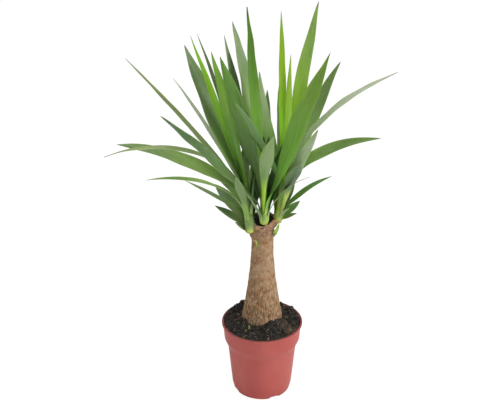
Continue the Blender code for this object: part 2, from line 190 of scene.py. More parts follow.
def place_piece(
    name: str,
    shape: Shape,
    finish: bpy.types.Material,
    nodes: Iterable[str] = (),
    crease: float = 40.0,
) -> bpy.types.Object:
    """Makes a piece from a shape and seats it in the frame.

    Args:
        name: the piece's name.
        shape: its points and faces, in millimetres.
        finish: its material.
        nodes: the CAD nodes that it stands for.
        crease: angle from which an edge is shaded sharp.

    Returns:
        The new object.
    """
    mesh = bpy.data.meshes.new(name)
    mesh.from_pydata([tuple(point * MM) for point in shape.points], [], shape.faces)
    for key, values in shape.values.items():
        mesh.attributes.new(key, "FLOAT", "POINT").data.foreach_set("value", values)
    mesh.validate()
    mesh.shade_smooth()
    mesh.set_sharp_from_angle(angle=math.radians(crease))
    mesh.materials.append(finish)
    piece = bpy.data.objects.new(name, mesh)
    bpy.context.scene.collection.objects.link(piece)
    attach(piece, BODY)
    names = list(nodes)
    if names:
        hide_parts(*names)
    LOG.info("%s: %d points, %d faces", name, len(mesh.vertices), len(mesh.polygons))
    return piece


def add_node(
    tree: bpy.types.NodeTree, kind: str, inputs: dict | None = None, **settings: object
) -> bpy.types.Node:
    """Adds a shader node with its settings and links.

    Args:
        tree: the material's nodes.
        kind: Blender's name for the node type.
        inputs: for each input, by name or number, a value or another node's output.
        settings: the node's own properties.

    Returns:
        The new node.
    """
    made = tree.nodes.new(kind)
    for name, value in settings.items():
        setattr(made, name, value)
    for name, value in (inputs or {}).items():
        if isinstance(value, bpy.types.NodeSocket):
            tree.links.new(value, made.inputs[name])
        else:
            made.inputs[name].default_value = value
    return made


def new_material(name: str) -> tuple[bpy.types.Material, bpy.types.NodeTree, bpy.types.Node]:
    """Makes a material that holds only a Principled shader and its output.

    Args:
        name: the material's name.

    Returns:
        The material, its nodes and its shader.
    """
    material = bpy.data.materials.new(name)
    material.use_nodes = True
    return material, material.node_tree, material.node_tree.nodes["Principled BSDF"]


def tinted(
    tree: bpy.types.NodeTree, base: str, tints: Iterable[Tint], **mapping: object
) -> bpy.types.NodeSocket:
    """Lays tints over a base colour, each as strongly as its pattern says.

    Args:
        tree: the material's nodes.
        base: the colour under them all.
        tints: the tints, from the lowest up.
        mapping: settings of the nodes that turn a pattern into a tint's share.

    Returns:
        The mixed colour.
    """
    colour: bpy.types.NodeSocket | Colour = linear(base)
    for pattern, start, full, most, tint in tints:
        share = add_node(
            tree,
            "ShaderNodeMapRange",
            {"Value": pattern, "From Min": start, "From Max": full, "To Max": most},
            **mapping,
        ).outputs["Result"]
        over = linear(tint) if isinstance(tint, str) else tint
        colour = add_node(
            tree,
            "ShaderNodeMix",
            {MIX_FACTOR: share, MIX_FIRST: colour, MIX_SECOND: over},
            data_type="RGBA",
        ).outputs[MIX_RESULT]
    return colour


def dress(
    shader: bpy.types.Node,
    colour: bpy.types.NodeSocket,
    relief: tuple[bpy.types.NodeSocket, float, float],
    gloss: tuple[bpy.types.NodeSocket, float, float, float, float] | None = None,
    constants: dict[str, object] | None = None,
) -> None:
    """Gives a shader its colour, its fine relief, its gloss and what is the same all over.

    Args:
        shader: the material's shader.
        colour: its colour.
        relief: the pattern that raises the surface, how strongly it shades, and its depth.
        gloss: the pattern of the gloss, its lowest and highest value, and the roughness at each.
        constants: values of the shader's own sockets.
    """
    tree = shader.id_data
    tree.links.new(colour, shader.inputs["Base Color"])
    if gloss:
        pattern, low, high, least, most = gloss
        roughness = add_node(
            tree,
            "ShaderNodeMapRange",
            {"Value": pattern, "From Min": low, "From Max": high, "To Min": least, "To Max": most},
        ).outputs["Result"]
        tree.links.new(roughness, shader.inputs["Roughness"])
    raised, strength, depth = relief
    bump = add_node(
        tree, "ShaderNodeBump", {"Strength": strength, "Distance": depth * MM, "Height": raised}
    ).outputs["Normal"]
    tree.links.new(bump, shader.inputs["Normal"])
    for name, value in (constants or {}).items():
        shader.inputs[name].default_value = value


# --------------------------------------------------------------------------- finishes


@dataclass(frozen=True)
class MouldedPolypropylene:
    """Thin injection-moulded polypropylene: satin skin, faint flow marks and a little dust."""

    colour: str = "#b24e48"
    worn: str = "#b85a52"
    dust: str = "#a8675c"
    lip_darkening: str = "#6b3d36"  # darker round the top of the lip
    lip_darkening_from: float = 113.6
    lip_darkening_to: float = 114.7
    roughness: float = 0.45
    flow_mm: float = 40.0  # how far apart the flow marks of the melt lie
    dust_mm: float = 3.2
    grain_mm: float = 1.6  # orange peel of the mould's wall, drawn coarser than its real 0.3 mm to show

    def material(self) -> bpy.types.Material:
        """Builds the finish.

        Returns:
            The material.
        """
        # The mould leaves a satin skin, and light soaks a little into the plastic, so the eye gets a
        # soft colour with a broad, weak shine.
        material, tree, shader = new_material("moulded_polypropylene")
        places = add_node(tree, "ShaderNodeTexCoord").outputs["Object"]
        height = add_node(tree, "ShaderNodeSeparateXYZ", {"Vector": places}).outputs["Z"]
        streaked = add_node(
            tree, "ShaderNodeVectorMath", {0: places, 1: (1.0, 1.0, 0.6)}, operation="MULTIPLY"
        ).outputs["Vector"]
        flow, specks, peel = (
            add_node(
                tree,
                "ShaderNodeTexNoise",
                {"Vector": space, "Scale": 1 / (size * MM), "Detail": detail, "Roughness": roughness},
            ).outputs["Fac"]
            for space, size, detail, roughness in (
                (streaked, self.flow_mm, 3.0, 0.5),
                (places, self.dust_mm, 5.0, 0.7),
                (places, self.grain_mm, 2.0, 0.5),
            )
        )
        colour = tinted(
            tree,
            self.colour,
            (
                (flow, 0.38, 0.68, 1.0, self.worn),
                (specks, 0.58, 0.8, 0.22, self.dust),
                (height, self.lip_darkening_from * MM, self.lip_darkening_to * MM, 0.75, self.lip_darkening),
            ),
        )
        dress(
            shader,
            colour,
            relief=(peel, 0.12, 0.15),
            gloss=(specks, 0.3, 0.7, self.roughness - 0.05, self.roughness + 0.1),
            constants={
                "IOR": 1.49,
                "Specular IOR Level": 0.4,
                "Subsurface Weight": 0.12,
                "Subsurface Radius": (1.0, 0.35, 0.25),
                "Subsurface Scale": 2.0 * MM,
            },
        )
        return material


@dataclass(frozen=True)
class PottingMix:
    """Moist peat and composted bark: dark crumbs, brown bits and a few pale grains."""

    name: str = "potting_mix"
    wet: str = "#141210"
    peat: str = "#282420"
    brown: str = "#5c4734"
    pale: str = "#8b8577"
    grain_mm: float = 1.6

    def material(self) -> bpy.types.Material:
        """Builds the finish from each crumb's own shade, 0 for wet peat to 1 for a pale grain.

        Returns:
            The material.
        """
        # Torn and sieved, so it swallows light, and only its damp faces give the eye a weak shine.
        material, tree, shader = new_material(self.name)
        places = add_node(tree, "ShaderNodeTexCoord").outputs["Object"]
        shade = add_node(tree, "ShaderNodeAttribute", attribute_name="shade").outputs["Fac"]
        grain = add_node(
            tree,
            "ShaderNodeTexNoise",
            {"Vector": places, "Scale": 1 / (self.grain_mm * MM), "Detail": 4.0, "Roughness": 0.7},
        ).outputs["Fac"]
        mottled = add_node(
            tree, "ShaderNodeMath", {0: grain, 1: 0.55, 2: shade}, operation="MULTIPLY_ADD"
        ).outputs["Value"]
        colour = tinted(
            tree,
            self.wet,
            (
                (mottled, 0.3, 0.55, 1.0, self.peat),
                (mottled, 0.6, 0.95, 1.0, self.brown),
                (mottled, 1.1, 1.35, 1.0, self.pale),
            ),
        )
        dress(
            shader,
            colour,
            relief=(grain, 0.7, 0.5),
            gloss=(grain, 0.35, 0.7, 0.6, 0.95),
            constants={"Specular IOR Level": 0.35},
        )
        return material


@dataclass(frozen=True)
class CaneBark:
    """Bare yucca cane: corky tan bark, fibrous low down, smoother and blotched higher up."""

    body: str = "#9b7655"
    warm: str = "#96693f"
    pale: str = "#b39a7d"
    fleck: str = "#d3b98f"
    crack: str = "#553a26"
    top: str = "#855f4e"
    callus: str = "#b9966e"
    sprouting: str = "#9aa35c"
    name: str = "cane_bark"
    fibre_mm: float = 1.0  # the real fibres are about 0.5 mm apart, too fine to show
    ring_mm: float = 2.2  # spacing of the old leaf rings
    blotch_mm: float = 13.0
    speckle_mm: float = 2.6
    fibrous_below: float = 225.0  # height from which the fibres come through
    fibrous_at: float = 145.0  # and where they are fully torn open
    least_fibrous: float = 0.16

    def material(self) -> bpy.types.Material:
        """Builds the finish: torn fibres below, pale blotches above, a reddish band under the cut.

        Returns:
            The material.
        """
        # Weathered cork has no shine, and the eye reads it by its torn fibres, cracks and blotches.
        material, tree, shader = new_material(self.name)
        places = add_node(tree, "ShaderNodeTexCoord").outputs["Object"]
        relief, height, turn, rolled, budding = (
            add_node(tree, "ShaderNodeAttribute", attribute_name=key).outputs["Fac"]
            for key in ("relief", "height", "turn", "rolled", "budding")
        )
        bark_map = add_node(
            tree, "ShaderNodeCombineXYZ", {"X": turn, "Y": height, "Z": 0.0}
        ).outputs["Vector"]
        noises = {}
        # patterns in the bark's own map: how often they repeat per millimetre, across and up
        for key, across, up, detail in (
            ("fibres", 1 / self.fibre_mm, 0.14, 4.0),
            ("torn", 1 / (2 * self.fibre_mm), 0.1, 3.0),
            ("scales", 0.24, 0.15, 5.0),
            ("rings", 0.05, 1 / self.ring_mm, 3.0),
            ("bands", 0.03, 0.12, 3.0),
        ):
            stretched = add_node(
                tree, "ShaderNodeVectorMath", {0: bark_map, 1: (across, up, 1.0)}, operation="MULTIPLY"
            ).outputs["Vector"]
            noises[key] = add_node(
                tree, "ShaderNodeTexNoise", {"Vector": stretched, "Scale": 1.0, "Detail": detail}
            ).outputs["Fac"]
        patches, speckle = (
            add_node(
                tree,
                "ShaderNodeTexNoise",
                {"Vector": places, "Scale": 1 / (size * MM), "Detail": detail, "Roughness": roughness},
            ).outputs["Fac"]
            for size, detail, roughness in ((self.blotch_mm, 5.0, 0.62), (self.speckle_mm, 3.0, 0.6))
        )
        fibrous = add_node(
            tree,
            "ShaderNodeMapRange",
            {
                "Value": height,
                "From Min": self.fibrous_below,
                "From Max": self.fibrous_at,
                "To Min": self.least_fibrous,
            },
            interpolation_type="SMOOTHSTEP",
        ).outputs["Result"]
        fibres, torn = (
            add_node(
                tree,
                "ShaderNodeMath",
                {
                    0: add_node(tree, "ShaderNodeMath", {0: noises[key], 1: -0.5}).outputs["Value"],
                    1: fibrous,
                },
                operation="MULTIPLY",
            ).outputs["Value"]
            for key in ("fibres", "torn")
        )
        colour = tinted(
            tree,
            self.body,
            (
                (height, 200.0, 122.0, 0.6, self.warm),
                (noises["bands"], 0.5, 0.66, 0.35, self.warm),
                (patches, 0.46, 0.66, 0.8, self.pale),
                (patches, 0.46, 0.28, 0.45, self.crack),
                # painted shade: the bark darkens towards the soil
                (height, 165.0, 118.0, 0.14, self.crack),
                (height, 248.0, 262.0, 0.55, self.top),
                (noises["scales"], 0.52, 0.68, 0.6, self.pale),
                (noises["scales"], 0.45, 0.3, 0.45, self.crack),
                (noises["rings"], 0.4, 0.26, 0.22, self.crack),
                (speckle, 0.58, 0.72, 0.55, self.fleck),
                (speckle, 0.4, 0.28, 0.4, self.crack),
                (fibres, 0.04, 0.16, 0.48, self.fleck),
                (fibres, -0.03, -0.15, 0.7, self.crack),
                (torn, -0.05, -0.18, 0.5, self.crack),
                (budding, 0.2, 1.0, 0.7, self.sprouting),
                # pale callus, partly a painted highlight on the crests of its wrinkles
                (rolled, 0.15, 0.8, 0.85, self.callus),
                # painted shade in the bark's cracks and hollows, the deeper the darker
                (relief, -0.15, -1.0, 0.75, self.crack),
            ),
        )
        grain = add_node(
            tree, "ShaderNodeMath", {0: fibres, 1: 2.0, 2: speckle}, operation="MULTIPLY_ADD"
        ).outputs["Value"]
        constants = {"Roughness": 0.85, "Specular IOR Level": 0.3}
        dress(shader, colour, relief=(grain, 0.8, 0.6), constants=constants)
        return material


DRY_STRAND = CaneBark(
    body="#4a4136",
    warm="#4a4136",
    pale="#6a5f4c",
    fleck="#7d705a",
    crack="#1d1813",
    top="#2e2720",
    callus="#4a4136",
    name="dry_leaf_base",
)


@dataclass(frozen=True)
class GraftingWax:
    """Black wound wax brushed on warm: glossy where it pooled, dull where it cracked."""

    colour: str = "#070808"
    dusty: str = "#191816"
    patch_mm: float = 3.0  # width of the cracked, dusty patches

    def material(self) -> bpy.types.Material:
        """Builds the finish.

        Returns:
            The material.
        """
        # Wax that set in lumps gives the eye small, soft highlights on black.
        material, tree, shader = new_material("black_grafting_wax")
        places = add_node(tree, "ShaderNodeTexCoord").outputs["Object"]
        patches = add_node(
            tree,
            "ShaderNodeTexNoise",
            {"Vector": places, "Scale": 1 / (self.patch_mm * MM), "Detail": 4.0, "Roughness": 0.6},
        ).outputs["Fac"]
        dress(
            shader,
            tinted(tree, self.colour, [(patches, 0.52, 0.75, 1.0, self.dusty)]),
            relief=(patches, 0.5, 0.4),
            gloss=(patches, 0.35, 0.7, 0.38, 0.65),
            constants={"Specular IOR Level": 0.2},
        )
        return material


@dataclass(frozen=True)
class LeafCuticle:
    """Waxy skin of a yucca leaf: parallel veins, a pale sheath at the base and a dry brown tip."""

    # the green towards the base and towards the tip, partly the leaf's own colour and partly painted shade
    # low in the crown and painted sheen higher up
    lower: str
    upper: str
    bloom_and_sheen: float = 0.25  # how much grey wax bloom and painted sheen lies on it
    sheath: str = "#b4c860"
    dry: str = "#5c5140"
    # grey of the wax bloom, also laid on as painted sheen in broad clouds
    wax: str = "#9bab98"
    between_veins: float = 0.55  # how dark the green is between the veins
    vein_mm: float = 2.0  # the real veins are under 1 mm apart, too fine to show
    roughness: float = 0.4

    def material(self, name: str) -> bpy.types.Material:
        """Builds the finish.

        Args:
            name: the material's name.

        Returns:
            The material.
        """
        # A grown wax skin gives the eye a broad sheen along the veins, and light soaks through the
        # green under it.
        material, tree, shader = new_material(name)
        run, share, across, rim, under, seed, pale = (
            add_node(tree, "ShaderNodeAttribute", attribute_name=key).outputs["Fac"]
            for key in ("run", "share", "across", "rim", "under", "seed", "pale")
        )
        blade = add_node(
            tree, "ShaderNodeCombineXYZ", {"X": across, "Y": run, "Z": seed}
        ).outputs["Vector"]
        patterns = []
        # veins, then broad clouds of grey wax and painted sheen: how often they repeat per millimetre,
        # across and along
        for stretch, detail in (((1 / self.vein_mm, 0.02, 1.0), 3.0), ((0.09, 0.022, 1.0), 4.0)):
            stretched = add_node(
                tree, "ShaderNodeVectorMath", {0: blade, 1: stretch}, operation="MULTIPLY"
            ).outputs["Vector"]
            patterns.append(
                add_node(
                    tree,
                    "ShaderNodeTexNoise",
                    {"Vector": stretched, "Scale": 1.0, "Detail": detail, "Roughness": 0.6},
                ).outputs["Fac"]
            )
        veins, clouds = patterns
        red, green, blue, _ = (self.between_veins * channel for channel in linear(self.lower))
        colour = tinted(
            tree,
            self.lower,
            (
                # from the lower green to the upper one, with their painted shade and painted sheen
                (share, 0.3, 0.8, 1.0, self.upper),
                # broad grey clouds, partly wax bloom and partly painted sheen
                (clouds, 0.5, 0.75, self.bloom_and_sheen, self.wax),
                (under, 0.2, 0.9, 1.1 * self.bloom_and_sheen, self.wax),
                (veins, 0.5, 0.3, 0.45, (red, green, blue, 1.0)),
                (pale, 0.0, 1.0, 0.95, self.sheath),
                (rim, 0.9, 1.0, 0.25, self.sheath),
                (veins, 0.55, 0.75, 0.25, self.sheath),
                (share, 0.95, 1.0, 0.9, self.dry),
            ),
            interpolation_type="SMOOTHSTEP",
        )
        dress(
            shader,
            colour,
            relief=(veins, 0.35, 0.12),
            gloss=(clouds, 0.35, 0.7, self.roughness - 0.06, self.roughness + 0.12),
            constants={
                "IOR": 1.42,
                "Specular IOR Level": 0.35,
                "Subsurface Weight": 0.15,
                "Subsurface Radius": (0.5, 1.0, 0.2),
                "Subsurface Scale": 1.5 * MM,
            },
        )
        return material


class Green(Enum):
    """The leaf greens, each tuned to its leaves with their light and shade painted in: painted shade for
    the old leaves deep in the crown, painted light for the young ones that the light shines through.
    """

    DUSKY = LeafCuticle("#869c60", "#5c784a", bloom_and_sheen=0.2)
    SHADED = LeafCuticle("#3e5e32", "#43622e", bloom_and_sheen=0.15)
    DEEP = LeafCuticle("#628a36", "#678e4a", bloom_and_sheen=0.25)
    MOSS = LeafCuticle("#6e8c52", "#4c6540", bloom_and_sheen=0.25)
    BLUE_GREEN = LeafCuticle("#6f9448", "#687f54", bloom_and_sheen=0.35)
    LEAF = LeafCuticle("#9abc66", "#5f7c3c", bloom_and_sheen=0.2)
    OLIVE = LeafCuticle("#98ac6e", "#808f58", bloom_and_sheen=0.15)
    SAGE = LeafCuticle("#6c923c", "#7a9558", bloom_and_sheen=0.3)
    SILVER = LeafCuticle("#a8b98a", "#b2bca2", bloom_and_sheen=0.4)
    WILLOW = LeafCuticle("#b0d084", "#6c8450", bloom_and_sheen=0.3)
    PALM = LeafCuticle("#8fb26a", "#5f783f", bloom_and_sheen=0.3)
    GRASS = LeafCuticle("#82b84c", "#789f3e", bloom_and_sheen=0.1)
    FERN = LeafCuticle("#44681c", "#5e8f1c", bloom_and_sheen=0.1)
    BOTTLE = LeafCuticle("#5a9a26", "#64903c", bloom_and_sheen=0.25)
    STRONG = LeafCuticle("#6c9c38", "#446c14", bloom_and_sheen=0.1)
    CELERY = LeafCuticle("#7cac4a", "#98aa80", bloom_and_sheen=0.15)
    MEADOW = LeafCuticle("#96c42a", "#86a850", bloom_and_sheen=0.12)
    SPRING = LeafCuticle("#5a8c1c", "#70a012", bloom_and_sheen=0.08)
    SPOON = LeafCuticle("#5e8620", "#708d3e", bloom_and_sheen=0.25, sheath="#9cc43a")
    LIME = LeafCuticle("#8cc42a", "#86ac20", bloom_and_sheen=0.05)
    KNOB = LeafCuticle("#86a46a", "#86a46a", bloom_and_sheen=0.35, sheath="#c6d25e")


class LeafWardrobe:
    """Keeps one material for each green, so that leaves of one green share it."""

    def __init__(self) -> None:
        """Starts empty."""
        self.made: dict[Green, bpy.types.Material] = {}

    def material(self, green: Green) -> bpy.types.Material:
        """Hands out a green's material, built on first use.

        Args:
            green: the green.

        Returns:
            Its material.
        """
        if green not in self.made:
            self.made[green] = green.value.material(f"leaf_cuticle_{green.name.lower()}")
        return self.made[green]


# --------------------------------------------------------------------------- pot


@dataclass(frozen=True)
class NurseryPot:
    """Thin moulded 12 cm pot: tapered body, chamfer, plain rim band, rounded lip and drains."""

    radius: float = 60.0
    height: float = 115.0
    wall: float = 1.4
    lip_height: float = 3.0
    lip_width: float = 2.8
    lip_radius: float = 0.9
    lip_step: float = 2.0
    lip_chamfer: float = 2.0
    band_taper: float = 3.6
    band_bottom: float = 88.5
    step_radius: float = 51.0
    step_bottom: float = 76.5
    base_radius: float = 44.6
    base_top: float = 11.0
    floor_radius: float = 42.5
    floor_rounding: float = 3.5
    bend: float = 2.5  # softness of the moulded corners above and below the chamfer
    sides: int = 144
    crease: float = 35.0
    drain_count: int = 4
    drain_width: float = 17.0
    drain_height: float = 4.8
    drain_reach: float = 10.0
    drain_first_angle: float = -64.5
    drain_sides: int = 32

    def outside(self, inset: float) -> list[Vector]:
        """Outer wall from the floor's corner up to the band.

        Args:
            inset: how far it is moved inwards.

        Returns:
            Its profile, as radius and height.
        """
        centre = Vector((self.floor_radius - self.floor_rounding, self.floor_rounding))
        points = arc(centre, self.floor_rounding - inset, -90, 0, 8)
        base = Vector((self.base_radius - inset, self.base_top))
        bottom = Vector((self.step_radius - inset, self.step_bottom + inset / 2))
        top = Vector((self.radius - self.band_taper - inset, self.band_bottom + inset / 2))
        rim = Vector((self.radius - self.lip_step - inset, self.height))
        for before, corner, after in ((points[-1], base, bottom), (base, bottom, top), (bottom, top, rim)):
            points += self.rounded(before, corner, after)
        return points

    def rounded(self, before: Vector, corner: Vector, after: Vector) -> list[Vector]:
        """Softens a corner of the profile.

        Args:
            before: the profile's point before the corner.
            corner: the corner.
            after: the point after it.

        Returns:
            A short curve that takes the corner's place.
        """
        start = corner + (before - corner).normalized() * self.bend
        end = corner + (after - corner).normalized() * self.bend
        steps = [step / 6 for step in range(7)]
        return [start.lerp(corner, t).lerp(corner.lerp(end, t), t) for t in steps]

    def profile(self) -> list[Vector]:
        """Draws the pot's whole section.

        Returns:
            Its points from the middle of the underside round the lip to the middle of the floor.
        """
        lip_bottom = self.height - self.lip_height - self.lip_chamfer
        crown = self.height - self.lip_radius
        inner_edge = self.radius - self.lip_width + self.lip_radius
        return [
            *self.outside(0.0),
            Vector((self.radius - self.lip_step, lip_bottom)),
            Vector((self.radius, self.height - self.lip_height)),
            *arc(Vector((self.radius - self.lip_radius, crown)), self.lip_radius, 0, 90, 5),
            *arc(Vector((inner_edge, crown)), self.lip_radius, 90, 180, 5),
            Vector((self.radius - self.lip_step - self.wall, lip_bottom)),
            *reversed(self.outside(self.wall)),
        ]

    def shape(self) -> Shape:
        """Turns the section round the pot's axis.

        Returns:
            The pot without its drains.
        """
        shape = Shape()
        rows = [[shape.point(r * around(a) + z * UP) for a in turns(self.sides)] for r, z in self.profile()]
        shape.skin(rows)
        shape.cap(rows[0], Vector((0, 0, 0)), outward=False)
        shape.cap(rows[-1], Vector((0, 0, self.wall)), outward=True)
        return shape

    def drain_cutter(self) -> bpy.types.Object:
        """Makes the oval bars that cut the drains through the corner of the floor.

        Returns:
            The bars, as one hidden object.
        """
        cutters = bmesh.new()
        for drain in range(self.drain_count):
            angle = math.radians(self.drain_first_angle + drain * 360 / self.drain_count)
            oval = Matrix.Diagonal((self.drain_width / 2, self.drain_height, self.drain_reach, 1))
            lying = Matrix.Rotation(math.radians(90), 4, "X")
            out = Matrix.Rotation(angle + math.radians(90), 4, "Z")
            place = Matrix.Translation(self.floor_radius * around(angle))
            bmesh.ops.create_cone(
                cutters,
                cap_ends=True,
                segments=self.drain_sides,
                radius1=1,
                radius2=1,
                depth=1,
                matrix=Matrix.Scale(MM, 4) @ place @ out @ lying @ oval,
            )
        mesh = bpy.data.meshes.new("drain_cutter")
        cutters.to_mesh(mesh)
        cutters.free()
        cutter = bpy.data.objects.new("drain_cutter", mesh)
        bpy.context.scene.collection.objects.link(cutter)
        cutter.hide_render = True
        return cutter

    def build(self) -> None:
        """Builds the pot and cuts its drains."""
        pot = place_piece("nursery_pot", self.shape(), MouldedPolypropylene().material(), ["pot"])
        cutter = self.drain_cutter()
        cut = pot.modifiers.new("drains", "BOOLEAN")
        cut.solver = "EXACT"
        cut.object = cutter
        bpy.context.view_layer.update()
        evaluated = pot.evaluated_get(bpy.context.evaluated_depsgraph_get())
        pot.data = bpy.data.meshes.new_from_object(evaluated)
        pot.modifiers.clear()
        bpy.data.objects.remove(cutter)
        pot.data.shade_smooth()
        pot.data.set_sharp_from_angle(angle=math.radians(self.crease))


# --------------------------------------------------------------------------- soil


@dataclass(frozen=True)
class PottingSoil:
    """Crumbly potting mix: mounded round the cane, lower along the wall, with loose bits on top."""

    pot_radius: float = 60.0
    rim_radius: float = 56.7
    at_wall: float = 111.5
    at_cane: float = 117.5
    foot_radius: float = 30.5
    tucked_in: float = 2.5  # how far it runs in under the bark
    roughness: float = 1.6
    grain: float = 9.0
    # the part that the pot's wall hides: radius and height
    hidden: tuple[tuple[float, float], ...] = (
        (38.0, 2.0),
        (40.5, 4.0),
        (42.9, 11.0),
        (49.3, 76.5),
        (54.7, 89.0),
    )
    hidden_shade: float = 0.2
    clumps: tuple[Heap, ...] = (
        (-28.0, 45.0, 7.0, 8.0),
        (-44.0, 28.0, 15.0, 3.5),
        (30.0, 45.0, 5.0, 6.0),
        (41.0, 32.0, 11.0, 2.5),
        (47.0, 32.0, 4.0, 3.0),
        (-36.0, -26.0, 10.0, 1.5),
        (14.0, -44.0, 9.0, 1.0),
    )
    # loose soil against the cane's front and the back wall
    drifts: tuple[Heap, ...] = (
        (-27.0, -11.0, 8.0, 6.5),
        (9.0, -23.5, 8.0, 6.0),
        (21.0, -15.0, 9.0, 7.5),
        (34.0, 4.0, 8.0, 2.5),
        (-35.0, 40.0, 11.0, 3.0),
        (-52.0, 12.0, 12.0, 2.0),
        (-14.0, 54.0, 9.0, 3.5),
        (16.0, 54.0, 9.0, 3.0),
        (47.0, 28.0, 10.0, 1.5),
        (54.0, 8.0, 11.0, 3.0),
        (46.0, 34.0, 8.0, 2.0),
    )
    # drier soil, with how much browner it is in the place of the height
    dry_patches: tuple[Heap, ...] = (
        (43.0, -27.0, 9.0, 0.75),
        (40.0, 42.0, 9.0, 0.55),
        (-38.0, 2.0, 12.0, 0.25),
        (30.0, -14.0, 9.0, 0.4),
    )
    sides: int = 240
    rings: int = 52
    loose_radius: float = 56.5  # loose bits lie within this radius
    crumb_count: int = 2600
    chip_share: float = 0.07  # how many of the crumbs are flat bark chips
    chip_stretch: tuple[float, float, float] = (1.9, 0.9, 0.35)
    pale_share: float = 0.008  # how many of the small crumbs are pale grains
    pale_below: float = 0.9  # and how small those are
    fibre_count: int = 260
    fibre_steps: int = 8
    seed: int = 11

    def height(self, x: float, y: float) -> float:
        """Height of the smooth soil under its crumbs.

        Args:
            x: place across.
            y: place back.

        Returns:
            The height.
        """
        from_cane = math.hypot(x, y - CANE_AXIS.y) - self.foot_radius
        from_wall = self.pot_radius - math.hypot(x, y)
        share = from_wall / max(from_wall + from_cane, 1.0)
        level = self.at_wall + (self.at_cane - self.at_wall) * share + heaped(x, y, self.clumps)
        return level + self.roughness * noise.noise(Vector((x, y, 0)) / self.grain)

    def crumbled(self, x: float, y: float) -> float:
        """Height of the crumbly surface, with what has rolled against the cane and over the back.

        Args:
            x: place across.
            y: place back.

        Returns:
            The height.
        """
        spot = Vector((x, y, 5.0))
        level = self.height(x, y) + heaped(x, y, self.drifts)
        return level + 1.3 * lumps(spot, 8.0, 4) + 0.7 * lumps(spot + Vector((90, 0, 0)), 2.6)

    def shade(self, spot: Vector) -> float:
        """How brown the soil is there, 0 for black wet peat."""
        return 0.1 + 0.34 * lumps(spot, 5.5, 4) + heaped(spot.x, spot.y, self.dry_patches)

    def ground(self) -> Shape:
        """Makes the body of the soil, closed below so that it fills the pot.

        Returns:
            The body.
        """
        shape = Shape()
        angles = turns(self.sides)
        rows = [
            [shape.point(radius * around(a) + level * UP, shade=self.hidden_shade) for a in angles]
            for radius, level in self.hidden
        ]
        inner = self.foot_radius - self.tucked_in
        for ring in range(self.rings + 1):
            share = ring / self.rings
            radius = self.rim_radius + (inner - self.rim_radius) * share
            row = []
            for angle in angles:
                spot = radius * around(angle) + CANE_AXIS * share
                level = self.crumbled(spot.x, spot.y)
                row.append(shape.point(Vector((spot.x, spot.y, level)), shade=self.shade(spot)))
            rows.append(row)
        shape.skin(rows)
        bottom = self.hidden[0][1]
        shape.cap(rows[0], bottom * UP, outward=False, shade=self.hidden_shade)
        shape.cap(rows[-1], CANE_AXIS + self.at_cane * UP, outward=True, shade=self.hidden_shade)
        return shape

    def spots(self, rng: np.random.Generator, count: int) -> list[Vector]:
        """Picks random places on the soil between the cane and the wall.

        Args:
            rng: the source of what is random.
            count: how many places.

        Returns:
            The places.
        """
        found = []
        reach = self.loose_radius + 0.5
        while len(found) < count:
            x, y = rng.uniform(-reach, reach, 2)
            beside_cane = math.hypot(x, y - CANE_AXIS.y) > self.foot_radius - 0.5
            if beside_cane and math.hypot(x, y) < self.loose_radius:
                found.append(Vector((x, y, self.crumbled(x, y))))
        return found

    def crumbs(self, rng: np.random.Generator) -> Shape:
        """Scatters loose crumbs, bark chips and pale grains, each a lumpy little stone of its own.

        Args:
            rng: the source of what is random.

        Returns:
            All of them in one shape.
        """
        ball = bmesh.new()
        bmesh.ops.create_icosphere(ball, subdivisions=1, radius=1.0)
        corners = [vertex.co.copy() for vertex in ball.verts]
        faces = [tuple(vertex.index for vertex in face.verts) for face in ball.faces]
        ball.free()
        shape = Shape()
        for number, spot in enumerate(self.spots(rng, self.crumb_count)):
            size = 0.5 + 2.0 * rng.random() ** 5
            chip = rng.random() < self.chip_share
            stretch = Vector(self.chip_stretch if chip else rng.uniform(0.7, 1.2, 3))
            turned = Matrix.Rotation(rng.uniform(0, math.tau), 3, "Z") @ Matrix.Rotation(
                rng.uniform(-0.6, 0.6), 3, "X"
            )
            pale = size < self.pale_below and rng.random() < self.pale_share
            shade = 1.1 if pale else (0.4 if chip else -0.05) + 0.3 * rng.random() + self.shade(spot)
            start = len(shape.points)
            for corner in corners:
                rough = 1 + 0.55 * noise.noise(corner * 1.3 + Vector((number, 0, 0)))
                shape.point(spot + turned @ (corner * stretch * size * rough), shade=shade)
            shape.faces += [tuple(start + index for index in face) for face in faces]
        return shape

    def fibres(self, rng: np.random.Generator) -> Shape:
        """Lays thin peat fibres and rootlets over the crumbs.

        Args:
            rng: the source of what is random.

        Returns:
            All of them in one shape.
        """
        shape = Shape()
        for spot in self.spots(rng, self.fibre_count):
            heading = rng.uniform(0, math.tau)
            length = rng.uniform(3, 12)
            curl = rng.uniform(-0.6, 0.6)
            reach = rng.uniform(0.1, 0.24)
            shade = rng.uniform(0.2, 1.1)
            place = spot.copy()
            rows = []
            for _ in range(self.fibre_steps + 1):
                heading += curl / 2
                place += around(heading) * length / self.fibre_steps
                if math.hypot(place.x, place.y) > self.loose_radius:
                    break
                lift = max(0.35 + 0.5 * noise.noise(place / 3), 0.1)
                middle = Vector((place.x, place.y, self.crumbled(place.x, place.y) + lift))
                side = around(heading + math.pi / 2)
                rows.append([shape.point(middle + reach * c, shade=shade) for c in (side, UP, -side, -UP)])
            if len(rows) > 1:
                shape.skin(rows, ends=True)
        return shape

    def build(self) -> None:
        """Builds the soil, its crumbs and its fibres."""
        rng = np.random.default_rng(self.seed)
        place_piece("potting_soil_body", self.ground(), PottingMix().material(), ["potting_soil"])
        crumb_finish = PottingMix("loose_potting_mix", wet="#1d1714").material()
        place_piece("soil_crumbs", self.crumbs(rng), crumb_finish, crease=30)
        fibre_finish = PottingMix("peat_fibre", wet="#3a342c", peat="#5e574a", brown="#80796a").material()
        place_piece("soil_fibres", self.fibres(rng), fibre_finish)


# --------------------------------------------------------------------------- cane


